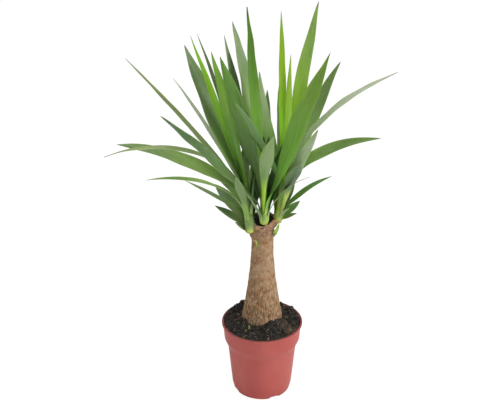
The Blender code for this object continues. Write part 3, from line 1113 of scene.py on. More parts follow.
@dataclass(frozen=True)
class Cane:
    """Bare cane with a swollen foot, corky bark and a slanted sawn top sealed with wax."""

    radius: float = 16.2
    foot_radius: float = 30.5
    foot_height: float = 118.0
    waist_height: float = 245.0
    flare_power: float = 1.9
    cut_height: float = 279.0
    cut_slant: float = 17.0
    callus: float = 0.9
    buried_depth: float = 66.0
    # the buried foot: share of its full radius, height above its bottom
    buried: tuple[tuple[float, float], ...] = ((0.55, 0.0), (0.84, 12.0), (0.96, 34.0), (1.0, 52.0))
    tucked_in: float = 8.0  # how far the visible bark goes on down into the soil
    flutes: float = 2.2
    flute_length: float = 70.0
    flute_depth: float = 0.03
    collar: float = 9.0  # height of the knobbly callus under the cut
    rim_bulge: float = 1.3  # how far it rolls over the sawn edge
    # the callus on the cut: share of the cane's radius, height above the cut
    rolled_over: tuple[tuple[float, float], ...] = (
        (1.0, 1.4),
        (0.95, 2.1),
        (0.88, 2.2),
        (0.82, 1.2),
        (0.78, -1.2),
    )
    creases: float = 12.0  # stretches the creases of the callus round the cane
    shelf: float = 6.5  # how far the callus swells out under the right shoot
    shelf_heading: float = -8.0
    shelf_spread: float = 0.55  # in radians, like the two spreads below
    shelf_height: float = 15.0
    shelf_rise: float = 3.0
    rise_heading: float = -25.0
    rise_spread: float = 0.7
    heel: float = 3.2  # how far the bark swells under the left shoot
    heel_heading: float = 202.0
    heel_spread: float = 0.4
    heel_height: float = 259.0
    bud_scar: Vector = Vector((-6.8, -15.0, 244.5))  # pale green patch below the bud
    bud_scar_radius: float = 4.0
    # the wax: share of the cane's radius, height above the cut
    waxed: tuple[tuple[float, float], ...] = (
        (0.9, -0.6),
        (0.93, 0.4),
        (0.88, 1.1),
        (0.74, 1.6),
        (0.58, 2.0),
        (0.4, 2.3),
        (0.2, 2.5),
    )
    wax_sides: int = 96
    strand_count: int = 7
    strand_steps: int = 10
    strand_radius: float = 0.34
    strands_at: float = 0.84  # share of the cane's radius at which they stand
    seed: int = 5
    sides: int = 200
    rows: int = 230

    def at(self, angle: float, reach: float, height: float) -> Vector:
        """Point at a reach from the cane's own axis."""
        return CANE_AXIS + reach * around(angle) + height * UP

    def reach(self, height: float) -> float:
        """Radius of the smooth cane.

        Args:
            height: where it is read.

        Returns:
            The radius.
        """
        if height >= self.waist_height:
            up = (height - self.waist_height) / (self.cut_height - self.waist_height)
            return self.radius + self.callus * up
        down = min((self.waist_height - height) / (self.waist_height - self.foot_height), 1.0)
        return self.radius + (self.foot_radius - self.radius) * down**self.flare_power

    def cut_at(self, angle: float, share: float) -> float:
        """Height of the slanted cut at a share of the radius from the axis."""
        back = self.reach(self.cut_height) * share * math.sin(angle)
        return self.cut_height + back * math.tan(math.radians(self.cut_slant))

    def relief(self, angle: float, height: float) -> float:
        """How far the bark stands out: long cracks low down, leaf rings higher up.

        Args:
            angle: where it is read round the cane, in radians.
            height: and how high up.

        Returns:
            The distance.
        """
        reach = self.reach(height)
        spot = Vector((math.cos(angle) * reach, math.sin(angle) * reach, height))
        low = eased((215 - height) / 90)
        cracks = 1 - abs(lumps(Vector((spot.x / 2.1, spot.y / 2.1, height / 17)), 1.0)) * 2.2
        ring_place = Vector((spot.x / 26, spot.y / 26, height / 3.4 + 0.5 * noise.noise(spot / 14)))
        rings = (0.1 + 0.3 * eased((height - 248) / 20)) * lumps(ring_place, 1.0)
        skirt = eased((128 - height) / 14) * 0.9 * lumps(spot + Vector((40, 0, 0)), 6.0, 2)
        return (0.12 + 0.36 * low) * (cracks - 0.4) + rings + 0.65 * lumps(spot, 11.0) + skirt

    def rim_lumps(self, angle: float) -> float:
        """Knobs of the callus round the cut, from about -1 to 1."""
        return noise.fractal(around(angle) * 2.6 + UP * 3, 0.7, 2.1, 4)

    def shelf_at(self, angle: float) -> float:
        """How far the callus stands out at the cut, under the right shoot."""
        under = hill(off_heading(angle, self.shelf_heading), self.shelf_spread)
        return self.shelf * under * (1 + 0.35 * self.rim_lumps(angle))

    def lift(self, angle: float) -> float:
        """How much higher the callus stands at the right-hand shoot."""
        return self.shelf_rise * hill(off_heading(angle, self.rise_heading), self.rise_spread)

    def swelling(self, angle: float, height: float, top: float) -> float:
        """How far the bark stands out under the two outer shoots.

        Args:
            angle: where it is read round the cane, in radians.
            height: and how high up.
            top: height of the cut there.

        Returns:
            The distance.
        """
        shelf = self.shelf_at(angle) * eased((height - top) / self.shelf_height + 1) ** 1.6
        under_left = hill(off_heading(angle, self.heel_heading), self.heel_spread)
        return shelf + self.heel * under_left * hill(height - self.heel_height, 6.0)

    def bark_point(
        self, shape: Shape, place: Vector, angle: float, relief: float, rolled: float = 0.0
    ) -> int:
        """Adds a point of the bark with what its finish reads.

        Args:
            shape: takes the point.
            place: the point.
            angle: where it is round the cane, in radians.
            relief: how far it stands out, below 0 in a crack, where the finish paints shade.
            rolled: how much of it has the pale callus colour, fresh callus and a painted highlight on the
                crests of its wrinkles.

        Returns:
            The point's number.
        """
        turn = abs(angle - math.pi) * self.radius
        budding = hill((place - CANE_AXIS - self.bud_scar).length, self.bud_scar_radius)
        return shape.point(place, relief=relief, height=place.z, turn=turn, rolled=rolled, budding=budding)

    def upright_point(self, shape: Shape, angle: float, share: float) -> int:
        """Adds a point of the bark between the soil and the cut.

        Args:
            shape: takes the point.
            angle: where it is round the cane, in radians.
            share: how far up it is.

        Returns:
            The point's number.
        """
        start = self.foot_height - self.tucked_in
        top = self.cut_at(angle, 1.0)
        height = start + (top - start) * share
        flute = around(angle) * self.flutes + height / self.flute_length * UP
        fluted = 1 + self.flute_depth * noise.noise(flute) * eased((height - start) / 10)
        near_top = eased((height - top) / self.collar + 1)
        wrinkle = near_top * lumps(self.creases * around(angle) + 2.2 * height * UP, 4.2)
        knobs = self.rim_bulge * near_top * (0.3 + 0.9 * self.rim_lumps(angle)) + 1.3 * wrinkle
        relief = self.relief(angle, height)
        reach = self.reach(height) * fluted + relief + knobs + self.swelling(angle, height, top)
        place = self.at(angle, reach, height + self.lift(angle) * near_top)
        # painted shade: the troughs of the callus wrinkles are darkened as well as the cracks
        relief_for_painted_shade = relief + 1.6 * min(wrinkle, 0.0)
        # the callus colour grows on the crests of the wrinkles: a painted highlight
        return self.bark_point(shape, place, angle, relief_for_painted_shade, near_top * (0.3 + 1.5 * wrinkle))

    def rolled_point(self, shape: Shape, angle: float, share: float, rise: float) -> int:
        """Adds a point of the callus that has rolled over the cut.

        Args:
            shape: takes the point.
            angle: where it is round the cane, in radians.
            share: how far out it is.
            rise: how high it stands above the cut.

        Returns:
            The point's number.
        """
        lumpy = rise * (1 + 1.1 * self.rim_lumps(angle + share))
        reach = (self.reach(self.cut_height) + 0.7 * self.shelf_at(angle)) * share
        place = self.at(angle, reach, self.cut_at(angle, share) + lumpy + self.lift(angle))
        # painted shade in the hollows of the lumpy callus
        return self.bark_point(shape, place, angle, 0.35 * lumpy - 0.55, 0.5 + 0.9 * lumps(place, 5.0))

    def bark(self) -> Shape:
        """Makes the bark from the buried foot up over the rolled edge of the cut.

        Returns:
            The bark.
        """
        shape = Shape()
        angles = turns(self.sides)
        bottom = self.foot_height - self.buried_depth
        rows = [
            [
                self.bark_point(shape, self.at(a, self.foot_radius * share, bottom + rise), a, 0.0)
                for a in angles
            ]
            for share, rise in self.buried
        ]
        for step in range(self.rows + 1):
            rows.append([self.upright_point(shape, a, step / self.rows) for a in angles])
        for share, rise in self.rolled_over:
            rows.append([self.rolled_point(shape, a, share, rise) for a in angles])
        shape.skin(rows)
        inside = {"relief": -0.5, "turn": 0.0, "rolled": 0.0, "budding": 0.0}
        shape.cap(rows[0], CANE_AXIS + bottom * UP, outward=False, height=bottom, **inside)
        middle = self.cut_height - 1.2
        shape.cap(rows[-1], CANE_AXIS + middle * UP, outward=True, height=middle, **inside)
        return shape

    def wax(self) -> Shape:
        """Makes the lumpy wax over the sawn wood, thin at the rim.

        Returns:
            The wax.
        """
        shape = Shape()
        rows = []
        for share, rise in self.waxed:
            row = []
            for angle in turns(self.wax_sides):
                wavy = share + 0.05 * noise.noise(around(angle) * 2.6 + UP * 7)
                reach = self.reach(self.cut_height) * wavy
                place = self.at(angle, reach, self.cut_at(angle, wavy) + rise)
                row.append(shape.point(place + UP * 0.9 * lumps(place, 5.0)))
            rows.append(row)
        shape.skin(rows)
        shape.cap(rows[-1], CANE_AXIS + (self.cut_height + self.waxed[-1][1]) * UP, outward=True)
        return shape

    def strands(self) -> Shape:
        """Makes the dry, dark strands of old leaf base that stand up behind the wax.

        Returns:
            All of them in one shape.
        """
        rng = np.random.default_rng(self.seed)
        shape = Shape()
        for strand in range(self.strand_count):
            angle = math.radians(40 + 100 * strand / (self.strand_count - 1))
            place = self.at(angle, self.strands_at * self.radius, self.cut_at(angle, self.strands_at))
            heading = Vector((rng.uniform(-0.7, 0.7), rng.uniform(-0.5, 0.1), 1.0))
            curl = Vector((rng.uniform(-0.5, 0.5), 0.0, -0.12))
            length = rng.uniform(9, 16)
            values = {"relief": -0.4, "height": 150.0, "turn": strand * 3.0, "rolled": 0.0, "budding": 0.0}
            rows = []
            for step in range(self.strand_steps + 1):
                reach = self.strand_radius * (1 - 0.07 * step)
                rows.append([shape.point(place + reach * around(a), **values) for a in turns(4)])
                heading += curl * 0.3
                place = place + heading.normalized() * length / self.strand_steps
            shape.skin(rows, ends=True)
        return shape

    def build(self) -> None:
        """Builds the bark, the wax and the dry strands."""
        place_piece("cane", self.bark(), CaneBark().material(), ["trunk"], crease=70)
        place_piece("dry_strands", self.strands(), DRY_STRAND.material())
        place_piece("grafting_wax_cap", self.wax(), GraftingWax().material(), ["wound_seal"], crease=70)


# --------------------------------------------------------------------------- shoots and leaves


@dataclass(frozen=True)
class Leaf:
    """One strap leaf, as a person would describe it on the plant.

    green: its finish.
    height: share of the way up the shoot where it leaves the stem.
    turn: heading seen from above, 0 towards +X and 90 towards the back.
    lean: angle away from upright once clear of the stem.
    bend: how much further it arches over by the tip.
    roll: turn of the blade about its own length.
    swerve: how much its heading changes by the tip.
    arch: under 1 it bends over early and runs straight, over 1 it bends near the tip.
    neck: width of its base, as a share of its widest.
    widest: share of its length at which it is widest; a late one opens suddenly, like a spoon.
    """

    green: Green
    height: float
    turn: float
    lean: float
    bend: float
    length: float
    width: float
    roll: float = 0.0
    swerve: float = 0.0
    arch: float = 1.5
    neck: float = 0.5
    widest: float = 0.45

    @property
    def spoon(self) -> bool:
        """Whether it opens suddenly from a long, narrow, pale neck."""
        return self.widest > 0.6


@dataclass(frozen=True)
class Station:
    """A place on a leaf's course: its middle and its directions across and to its upper side."""

    middle: Vector
    across: Vector
    above: Vector


def wave(run: float, length: float, lane: float, seed: float) -> float:
    """Slow wave of about -1 to 1 along a blade, another one for each lane and seed."""
    return noise.noise(Vector((run / length, lane, seed)))


@dataclass(frozen=True)
class Shoot:
    """One green shoot: a tapering stem wrapped in leaf sheaths, with its leaves."""

    name: str
    foot: Vector
    top: Vector
    foot_radius: float
    top_radius: float
    leaves: tuple[Leaf, ...]
    inner: tuple[Leaf, ...]  # young leaves inside the shoot, too small for solids of their own

    # the course of a leaf
    steps: int = 10  # stretches in which it is laid out
    sheath: float = 26.0  # length over which a leaf turns away from its shoot
    most_sheath: float = 0.25  # the same as the most it takes of a short leaf
    opening: float = 0.12  # how far a leaf's base points away from its shoot
    rolled_by: float = 0.5  # share of the length over which a leaf takes up its roll

    # the outline of a blade
    usual_widest: float = 0.45
    tip_power: float = 2.3
    least_width: float = 0.012  # width left at the very tip, as a share of the widest
    clasp: float = 1.15  # widest base of a spoon, in radii of its shoot
    broad_base: float = 1.2  # how much wider an ordinary leaf's base looks than its solid's neck
    most_base: float = 2.7  # and at most this many radii of the stem

    # the section of a blade
    section_points: int = 10  # points across each side
    thickness: float = 0.9
    thinning: float = 0.6
    edge_thickness: float = 0.09
    fold_at_base: float = 0.24
    fold_at_tip: float = 0.06
    gutter: float = 0.35  # how much deeper the fold is where the leaf leaves the stem
    gutter_end: float = 0.22
    ripple: float = 0.08  # waves of the blade, as a share of its width
    twist: float = 9.0  # how far the blade rocks about its length
    sway_mm: float = 46.0  # lengths of the waves: sideways, up and down, rocking, and at the edges
    heave_mm: float = 58.0
    rock_mm: float = 60.0
    flutter_mm: float = 30.0

    # the sheaths and the stem
    sheath_rows: int = 5
    longest_sheath: float = 16.0
    widest_wrap: float = 112.0  # how far round the stem a sheath's foot goes to each side
    sheath_thickness: float = 0.3
    sheath_clearance: float = 0.12
    foot_depth: float = 2.6  # how far the rounded foot reaches below its centre
    swollen: float = 0.2  # how much thicker than its solid the sheathed stem looks
    swollen_at: float = 14.0
    swollen_over: float = 9.0
    bare_foot: float = 3.0  # how much of the foot shows below the sheaths
    foot_rows: int = 12
    stem_rows: int = 34
    stem_sides: int = 48

    # colour
    paleness: float = 1.0  # how yellow the young sheaths and necks are
    fading: float = 0.6  # how much of that yellow the sheaths lose upwards
    knob: Green = Green.LIME

    def axis(self) -> Vector:
        """Direction of the stem."""
        return (self.top - self.foot).normalized()

    def radius(self, height: float) -> float:
        """Radius of the stem at a share of its length."""
        return self.foot_radius + (self.top_radius - self.foot_radius) * height

    def width(self, leaf: Leaf, share: float) -> float:
        """Width of a leaf: a clasping base, a broad middle and a long point.

        Args:
            leaf: the leaf.
            share: how far along it.

        Returns:
            The width.
        """
        late = leaf.widest / self.usual_widest
        if leaf.spoon:
            base = min(leaf.neck * leaf.width, self.clasp * self.radius(leaf.height))
        else:
            base = min(self.broad_base * leaf.neck * leaf.width, self.most_base * self.radius(leaf.height))
        if share < leaf.widest:
            return base + (leaf.width - base) * eased(share / leaf.widest) ** late**2
        left = 1 - ((share - leaf.widest) / (1 - leaf.widest)) ** (self.tip_power / late)
        return leaf.width * max(left, self.least_width)

    def course(self, leaf: Leaf) -> list[Station]:
        """Lays out a leaf.

        Args:
            leaf: the leaf.

        Returns:
            Its stations from base to tip.
        """
        outward = around(math.radians(leaf.turn))
        place = self.foot.lerp(self.top, leaf.height)
        place = place + outward * (self.radius(leaf.height) + GAP + self.thickness / 2)
        clasped = self.axis() + outward * self.opening
        sheath = min(self.sheath / leaf.length, self.most_sheath)
        stations = []
        for step in range(self.steps + 1):
            share = step / self.steps
            lean = math.radians(leaf.lean + leaf.bend * share**leaf.arch)
            flat = around(math.radians(leaf.turn + leaf.swerve * share))
            along = flat * math.sin(lean) + UP * math.cos(lean)
            along = clasped.lerp(along, eased(share / sheath)).normalized()
            level = Vector((-flat.y, flat.x, 0))
            roll = math.radians(leaf.roll) * eased(share / self.rolled_by)
            across = level * math.cos(roll) + along.cross(level) * math.sin(roll)
            stations.append(Station(place, across, along.cross(across)))
            place = place + along * (leaf.length / self.steps)
        return stations

    def between(self, stations: list[Station], share: float) -> Station:
        """Reads a course between its stations, on a smooth curve through their middles.

        Args:
            stations: the course.
            share: how far along it.

        Returns:
            The station there.
        """
        spot = min(share * self.steps, self.steps - 1e-6)
        here = int(spot)
        part = spot - here
        places = [stations[min(max(here + k, 0), self.steps)].middle for k in (-1, 0, 1, 2)]
        square, cube = part**2, part**3
        middle = (
            places[1] * (2 * cube - 3 * square + 1)
            + (places[2] - places[0]) / 2 * (cube - 2 * square + part)
            + places[2] * (3 * square - 2 * cube)
            + (places[3] - places[1]) / 2 * (cube - square)
        )
        before, after = stations[here], stations[here + 1]
        across = before.across.lerp(after.across, part).normalized()
        return Station(middle, across, before.above.lerp(after.above, part).normalized())

    def section(
        self, shape: Shape, place_at: Callable[[int, float], Vector], half: float, **values: float
    ) -> list[int]:
        """Adds one closed section: its upper side from edge to edge, then its lower side.

        Args:
            shape: takes the points.
            place_at: gives a point by its side, 1 or -1, and its place across, -1 to 1.
            half: half the section's width.
            values: what the finish reads all over the section.

        Returns:
            The points' numbers.
        """
        row = []
        for side, under in ((1, 0.0), (-1, 1.0)):
            for step in range(self.section_points):
                spread = side * (2 * step / self.section_points - 1)
                place = place_at(side, spread)
                row.append(shape.point(place, across=half * spread, rim=abs(spread), under=under, **values))
        return row

    def blade_row(self, shape: Shape, leaf: Leaf, share: float, station: Station, seed: float) -> list[int]:
        """Adds one section of the blade.

        Args:
            shape: takes the points.
            leaf: the leaf.
            share: how far along it.
            station: the middle and the directions there.
            seed: the leaf's own.

        Returns:
            The points' numbers.
        """
        half = self.width(leaf, share) / 2
        run = share * leaf.length
        fold = self.fold_at_base + (self.fold_at_tip - self.fold_at_base) * share
        fold += self.gutter * (1 - eased(share / self.gutter_end))
        thick = self.thickness * (1 - self.thinning * share)
        free = eased(share / 0.25)  # the blade is held still at its base
        waves = self.ripple * leaf.width * free
        middle = station.middle + station.across * (waves * wave(run, self.sway_mm, 9.0, seed))
        middle = middle + station.above * (1.3 * waves * wave(run, self.heave_mm, 17.0, seed))
        rock = math.radians(self.twist) * free * wave(run, self.rock_mm, 25.0, seed)
        across = station.across * math.cos(rock) + station.above * math.sin(rock)
        above = station.above * math.cos(rock) - station.across * math.sin(rock)

        def place_at(side: int, spread: float) -> Vector:
            """Places a point of the blade.

            Args:
                side: 1 on the upper side, -1 on the lower one.
                spread: how far across it is, -1 to 1.

            Returns:
                The point.
            """
            edge = abs(spread)
            flutter = waves * wave(run, self.flutter_mm, 4 * math.copysign(1, spread), seed)
            lift = fold * half * edge**1.4 + flutter * edge**2
            through = thick / 2 * (1 - edge**2) ** 0.7 + self.edge_thickness
            return middle + across * (half * spread) + above * (lift + side * through)

        pale = self.paleness * (1 - eased((share - 0.22) / 0.3 if leaf.spoon else (run + 4) / 24))
        return self.section(shape, place_at, half, run=run, share=share, seed=seed, pale=pale)

    def sheath_row(self, shape: Shape, leaf: Leaf, share: float, seed: float) -> list[int]:
        """Adds one section of the sheath that wraps the stem below the blade.

        Args:
            shape: takes the points.
            leaf: the leaf.
            share: how far up the sheath.
            seed: the leaf's own.

        Returns:
            The points' numbers.
        """
        stem_length = (self.top - self.foot).length
        bare = self.bare_foot * (1 + 0.5 * abs(noise.noise(Vector((seed, 3.0, 0)))))
        length = min(self.longest_sheath, max(leaf.height * stem_length - bare, 1.0))
        below = length * (1 - share)
        axis = self.axis()
        outward = around(math.radians(leaf.turn))
        outward = (outward - axis * outward.dot(axis)).normalized()
        level = axis.cross(outward)
        base = self.foot.lerp(self.top, leaf.height) - axis * below
        blade_gap = GAP + self.thickness / 2 - self.sheath_clearance
        reach = self.stem_reach(leaf.height - below / stem_length)
        reach += self.sheath_clearance + blade_gap * share**0.7
        narrow = self.width(leaf, 0.0) / 2 / reach
        wrap = narrow + (math.radians(self.widest_wrap) - narrow) * (1 - share) ** 0.8

        def place_at(side: int, spread: float) -> Vector:
            """Places a point of the sheath.

            Args:
                side: 1 on the side that faces the stem, -1 on the outer one.
                spread: how far round it is, -1 to 1.

            Returns:
                The point.
            """
            angle = wrap * spread
            through = self.sheath_thickness * (1 - spread**2) ** 0.7 + 0.06
            return base + (outward * math.cos(angle) - level * math.sin(angle)) * (reach - side * through)

        pale = self.paleness * (1 - self.fading * eased((leaf.height * stem_length - below) / 12))
        return self.section(shape, place_at, reach * wrap, run=-below, share=0.0, seed=seed, pale=pale)

    def blade(self, leaf: Leaf, seed: float) -> Shape:
        """Makes the fine closed mesh of a leaf with its clasping sheath.

        Args:
            leaf: the leaf.
            seed: sets its own waves and veins.

        Returns:
            The leaf.
        """
        shape = Shape()
        rows = [
            self.sheath_row(shape, leaf, step / self.sheath_rows, seed) for step in range(self.sheath_rows)
        ]
        stations = self.course(leaf)
        fine = max(int(leaf.length / 4.5), 16)
        swollen_by = self.stem_reach(leaf.height) - self.radius(leaf.height)
        pushed = around(math.radians(leaf.turn)) * swollen_by  # the sheathed stem is thicker than its solid
        for step in range(fine + 1):
            share = step / fine
            there = self.between(stations, share)
            middle = there.middle + pushed * (1 - eased(share / 0.2))
            station = Station(middle, there.across, there.above)
            rows.append(self.blade_row(shape, leaf, share, station, seed))
        shape.skin(rows, ends=True)
        return shape

    def stem_reach(self, height: float) -> float:
        """Radius of the sheathed stem with its rounded, swollen foot.

        Args:
            height: share of the stem's length, below 0 in the foot.

        Returns:
            The radius.
        """
        up = height * (self.top - self.foot).length + self.foot_depth
        rounded = min(max(up / (2.2 * self.foot_depth), 0.0), 1.0)
        swell = 1 + self.swollen * hill(up - self.swollen_at, self.swollen_over)
        return self.radius(max(height, 0.0)) * math.sqrt(1 - (1 - rounded) ** 2) * swell

    def stem(self) -> Shape:
        """Makes the stem itself: a rounded knob that breaks out of the cane, then a slim core.

        Returns:
            The stem.
        """
        shape = Shape()
        axis = self.axis()
        side = axis.orthogonal().normalized()
        other = axis.cross(side)
        length = (self.top - self.foot).length
        lowest = -self.foot_depth / length
        heights = [lowest + 0.16 * (step / self.foot_rows) ** 1.6 for step in range(1, self.foot_rows + 1)]
        knob_top = heights[-1]
        heights += [
            knob_top + (1.04 - knob_top) * step / self.stem_rows for step in range(1, self.stem_rows + 1)
        ]
        rows = []
        for height in heights:
            middle = self.foot.lerp(self.top, height)
            narrowed = 1 - 0.5 * eased((height - 0.97) / 0.07)
            values = {"run": height * length, "pale": 1 - 0.9 * eased((height * length - 1) / 11)}
            values |= {"share": 0.0, "rim": 0.0, "under": 0.0, "seed": 3.0}
            row = []
            for angle in turns(self.stem_sides):
                way = side * math.cos(angle) + other * math.sin(angle)
                rough = 1 + 0.09 * noise.noise((middle + way * 5) / 4.0)
                place = middle + way * self.stem_reach(height) * rough * narrowed
                row.append(shape.point(place, across=angle * self.radius(0.0), **values))
            rows.append(row)
        shape.skin(rows, ends=True)
        return shape

    def build(self, wardrobe: LeafWardrobe) -> None:
        """Builds the stem and every leaf.

        Args:
            wardrobe: where the leaf materials come from.
        """
        core = f"{self.name}_shoot"
        place_piece(f"{core}_stem", self.stem(), wardrobe.material(self.knob), [core])
        for number, leaf in enumerate(self.leaves, start=1):
            node = f"{self.name}_leaf_{number:02d}"
            shape = self.blade(leaf, seed=number * 7.3 + len(self.name) * 31)
            place_piece(f"{node}_blade", shape, wardrobe.material(leaf.green), [node], crease=60)
        for number, leaf in enumerate(self.inner, start=1):
            shape = self.blade(leaf, seed=number * 5.1 + len(self.name) * 17)
            name = f"{self.name}_inner_leaf_{number}"
            place_piece(name, shape, wardrobe.material(leaf.green), crease=60)


LEFT = Shoot(
    "left",
    Vector((-17.5, 1, 264)),
    Vector((-23, 1, 340)),
    6.3,
    3.2,
    (
        Leaf(Green.DUSKY, 0.01, 160, 65, 0, 60, 12, -30),
        Leaf(Green.DUSKY, 0.06, 130, 65, 14, 90, 19, -35),
        Leaf(Green.SAGE, 0.12, 150, 72, 7, 122, 7, -20),
        Leaf(Green.SPOON, 0.27, 246, 27, 0, 94, 16, 0, 0, 1.5, 0.4, 0.66),
        Leaf(Green.LEAF, 0.25, 206, 8, 81, 190, 10, -13, 0, 0.5),
        Leaf(Green.DUSKY, 0.28, 75, 32, 24, 120, 16),
        Leaf(Green.DEEP, 0.32, 121, 50, 32, 98, 12, -30),
        Leaf(Green.LEAF, 0.35, 152, 46, 22, 104, 9, -20),
        Leaf(Green.LEAF, 0.43, 170, 38, 53, 220, 22, -24, 0, 0.7, 0.36),
        Leaf(Green.OLIVE, 0.49, 190, -10, 121, 249, 10, -13, 0, 0.55),
        Leaf(Green.OLIVE, 0.55, 161, 42, 7, 270, 12, 3),
        Leaf(Green.SILVER, 0.63, 145, 38, 9, 204, 13, 15),
        Leaf(Green.BLUE_GREEN, 0.70, 171, 20, 3, 238, 27, -52),
        Leaf(Green.BLUE_GREEN, 0.84, 134, 21, 13, 231, 8, 0),
        Leaf(Green.SPRING, 0.86, 186, 17, 2, 241, 12, -48),
        Leaf(Green.SPRING, 0.94, 218, 13, 4, 219, 15, 50),
        Leaf(Green.DUSKY, 1.00, 100, 3, 3, 62, 14),
    ),
    (
        Leaf(Green.SHADED, 0.22, 40, 9, 6, 130, 17, 40),
        Leaf(Green.DEEP, 0.40, 330, 4, 6, 90, 12, 20),
        Leaf(Green.DUSKY, -0.02, 190, 44, 8, 24, 11, -15),
    ),
    paleness=0.55,
    swollen=0.26,
    swollen_at=12.0,
    knob=Green.KNOB,
    bare_foot=11.0,
)
MIDDLE = Shoot(
    "middle",
    Vector((2.3, -1, 278)),
    Vector((2, -8, 346)),
    5.4,
    3.0,
    (
        Leaf(Green.SAGE, 0.03, 224, 24, 19, 64, 8),
        Leaf(Green.SAGE, 0.08, 333, 25, 44, 110, 8),
        Leaf(Green.MOSS, 0.14, 192, 40, 7, 222, 23, -25, neck=0.25),
        Leaf(Green.SHADED, 0.21, 88, 52, 20, 222, 17),
        Leaf(Green.GRASS, 0.26, 343, 19, 2, 264, 29, 60),
        Leaf(Green.SPOON, 0.32, 262, 19, 8, 150, 21, 0, 44, 1.5, 0.32, 0.7),
        Leaf(Green.SHADED, 0.41, 114, 36, 18, 200, 17),
        Leaf(Green.FERN, 0.50, 205, 13, 7, 238, 26, 50),
        Leaf(Green.BLUE_GREEN, 0.60, 136, 22, -8, 237, 18),
        Leaf(Green.WILLOW, 0.72, 125, 13, 14, 246, 22),
        Leaf(Green.SHADED, 0.85, 70, 10, 8, 75, 12),
        Leaf(Green.STRONG, 1.00, 140, 8, -5, 250, 21),
    ),
    (
        Leaf(Green.SHADED, 0.45, 150, 9, 4, 92, 17, -40, neck=0.3),
        Leaf(Green.SHADED, 0.16, 28, 13, 5, 120, 17, 40),
    ),
)
RIGHT = Shoot(
    "right",
    Vector((22, 8, 276)),
    Vector((29, 9, 342)),
    5.0,
    3.0,
    (
        Leaf(Green.SAGE, 0.01, 335, 60, 0, 31, 9, 25),
        Leaf(Green.DEEP, 0.02, 21, 57, -8, 40, 14, 20),
        Leaf(Green.SAGE, 0.05, 303, 34, 17, 40, 11),
        Leaf(Green.DEEP, 0.07, 352, 37, 32, 104, 10, 30),
        Leaf(Green.SHADED, 0.12, 60, 54, 0, 60, 14),
        Leaf(Green.SHADED, 0.17, 296, 24, 15, 124, 23, 0, 0, 1.5, 0.3, 0.7),
        Leaf(Green.LEAF, 0.25, 352, -76, 164, 201, 17, 46, 0, 0.31, 0.42, 0.58),
        Leaf(Green.SHADED, 0.31, 90, 44, 24, 208, 17, 40),
        Leaf(Green.CELERY, 0.36, 312, 24, 8, 156, 18, -35),
        Leaf(Green.PALM, 0.43, 91, 18, 28, 108, 14),
        Leaf(Green.SILVER, 0.50, 346, -49, 112, 270, 14, 26, 0, 0.3),
        Leaf(Green.PALM, 0.58, 30, 20, 19, 210, 20, 50),
        Leaf(Green.BOTTLE, 0.66, 221, 26, 11, 188, 14, 25),
        Leaf(Green.CELERY, 0.74, 150, 18, -14, 176, 17, -30),
        Leaf(Green.LIME, 0.83, 290, 3, 2, 205, 10),
        Leaf(Green.LIME, 0.91, 105, 5, 0, 247, 11),
        Leaf(Green.MEADOW, 1.00, 20, 6, 9, 260, 19, 60),
    ),
    (
        Leaf(Green.DEEP, 0.12, 165, 2, -4, 95, 14, -45),
        Leaf(Green.SHADED, 0.30, 130, 6, 3, 80, 14, -30),
    ),
    fading=0.1,
)


# --------------------------------------------------------------------------- sprouts


@dataclass(frozen=True)
class Leaflet:
    """One small leaf of a sprout, laid along a few points that pull it into a curve."""

    course: tuple[tuple[float, float, float], ...]
    width: float
    pale: float  # how yellow its base is

    def along(self, share: float) -> Vector:
        """Reads its course.

        Args:
            share: how far along it.

        Returns:
            The point there.
        """
        places = [Vector(place) for place in self.course]
        while len(places) > 1:
            places = [start.lerp(end, share) for start, end in zip(places, places[1:])]
        return places[0]


@dataclass(frozen=True)
class Sprout:
    """A young sprout: small curled leaves that come out of one bud."""

    name: str
    node: str
    green: Green
    leaflets: tuple[Leaflet, ...]
    facing: Vector = Vector((0, -1, 0))
    steps: int = 16
    sides: int = 12
    fold: float = 0.45

    def shape(self) -> Shape:
        """Lays a closed, slightly folded leaf along each course.

        Returns:
            The whole sprout.
        """
        shape = Shape()
        for number, leaflet in enumerate(self.leaflets):
            rows = []
            for step in range(self.steps + 1):
                share = step / self.steps
                middle = leaflet.along(share)
                ahead = leaflet.along(min(share + 0.03, 1.0)) - leaflet.along(max(share - 0.03, 0.0))
                across = ahead.cross(self.facing).normalized()
                above = across.cross(ahead).normalized()
                half = leaflet.width / 2 * max(math.sin(math.pi * (0.12 + 0.88 * share)) ** 0.7, 0.05)
                thick = (0.16 * leaflet.width + 0.1) * (1 - 0.8 * share)
                pale = min(leaflet.pale * (1 - 0.6 * share), 1.0)
                values = {"run": share * 8, "share": 0.45 * share, "under": 0.0, "seed": number + 0.5}
                row = []
                for angle in turns(self.sides):
                    aside = half * math.cos(angle)
                    lift = self.fold * abs(aside) + thick * math.sin(angle)
                    place = middle + across * aside + above * lift
                    rim = abs(math.cos(angle)) ** 3
                    row.append(shape.point(place, across=aside, rim=rim, pale=pale, **values))
                rows.append(row)
            shape.skin(rows, ends=True)
        return shape

    def build(self, wardrobe: LeafWardrobe) -> None:
        """Builds the sprout in the place of its solid."""
        place_piece(self.name, self.shape(), wardrobe.material(self.green), [self.node], crease=60)


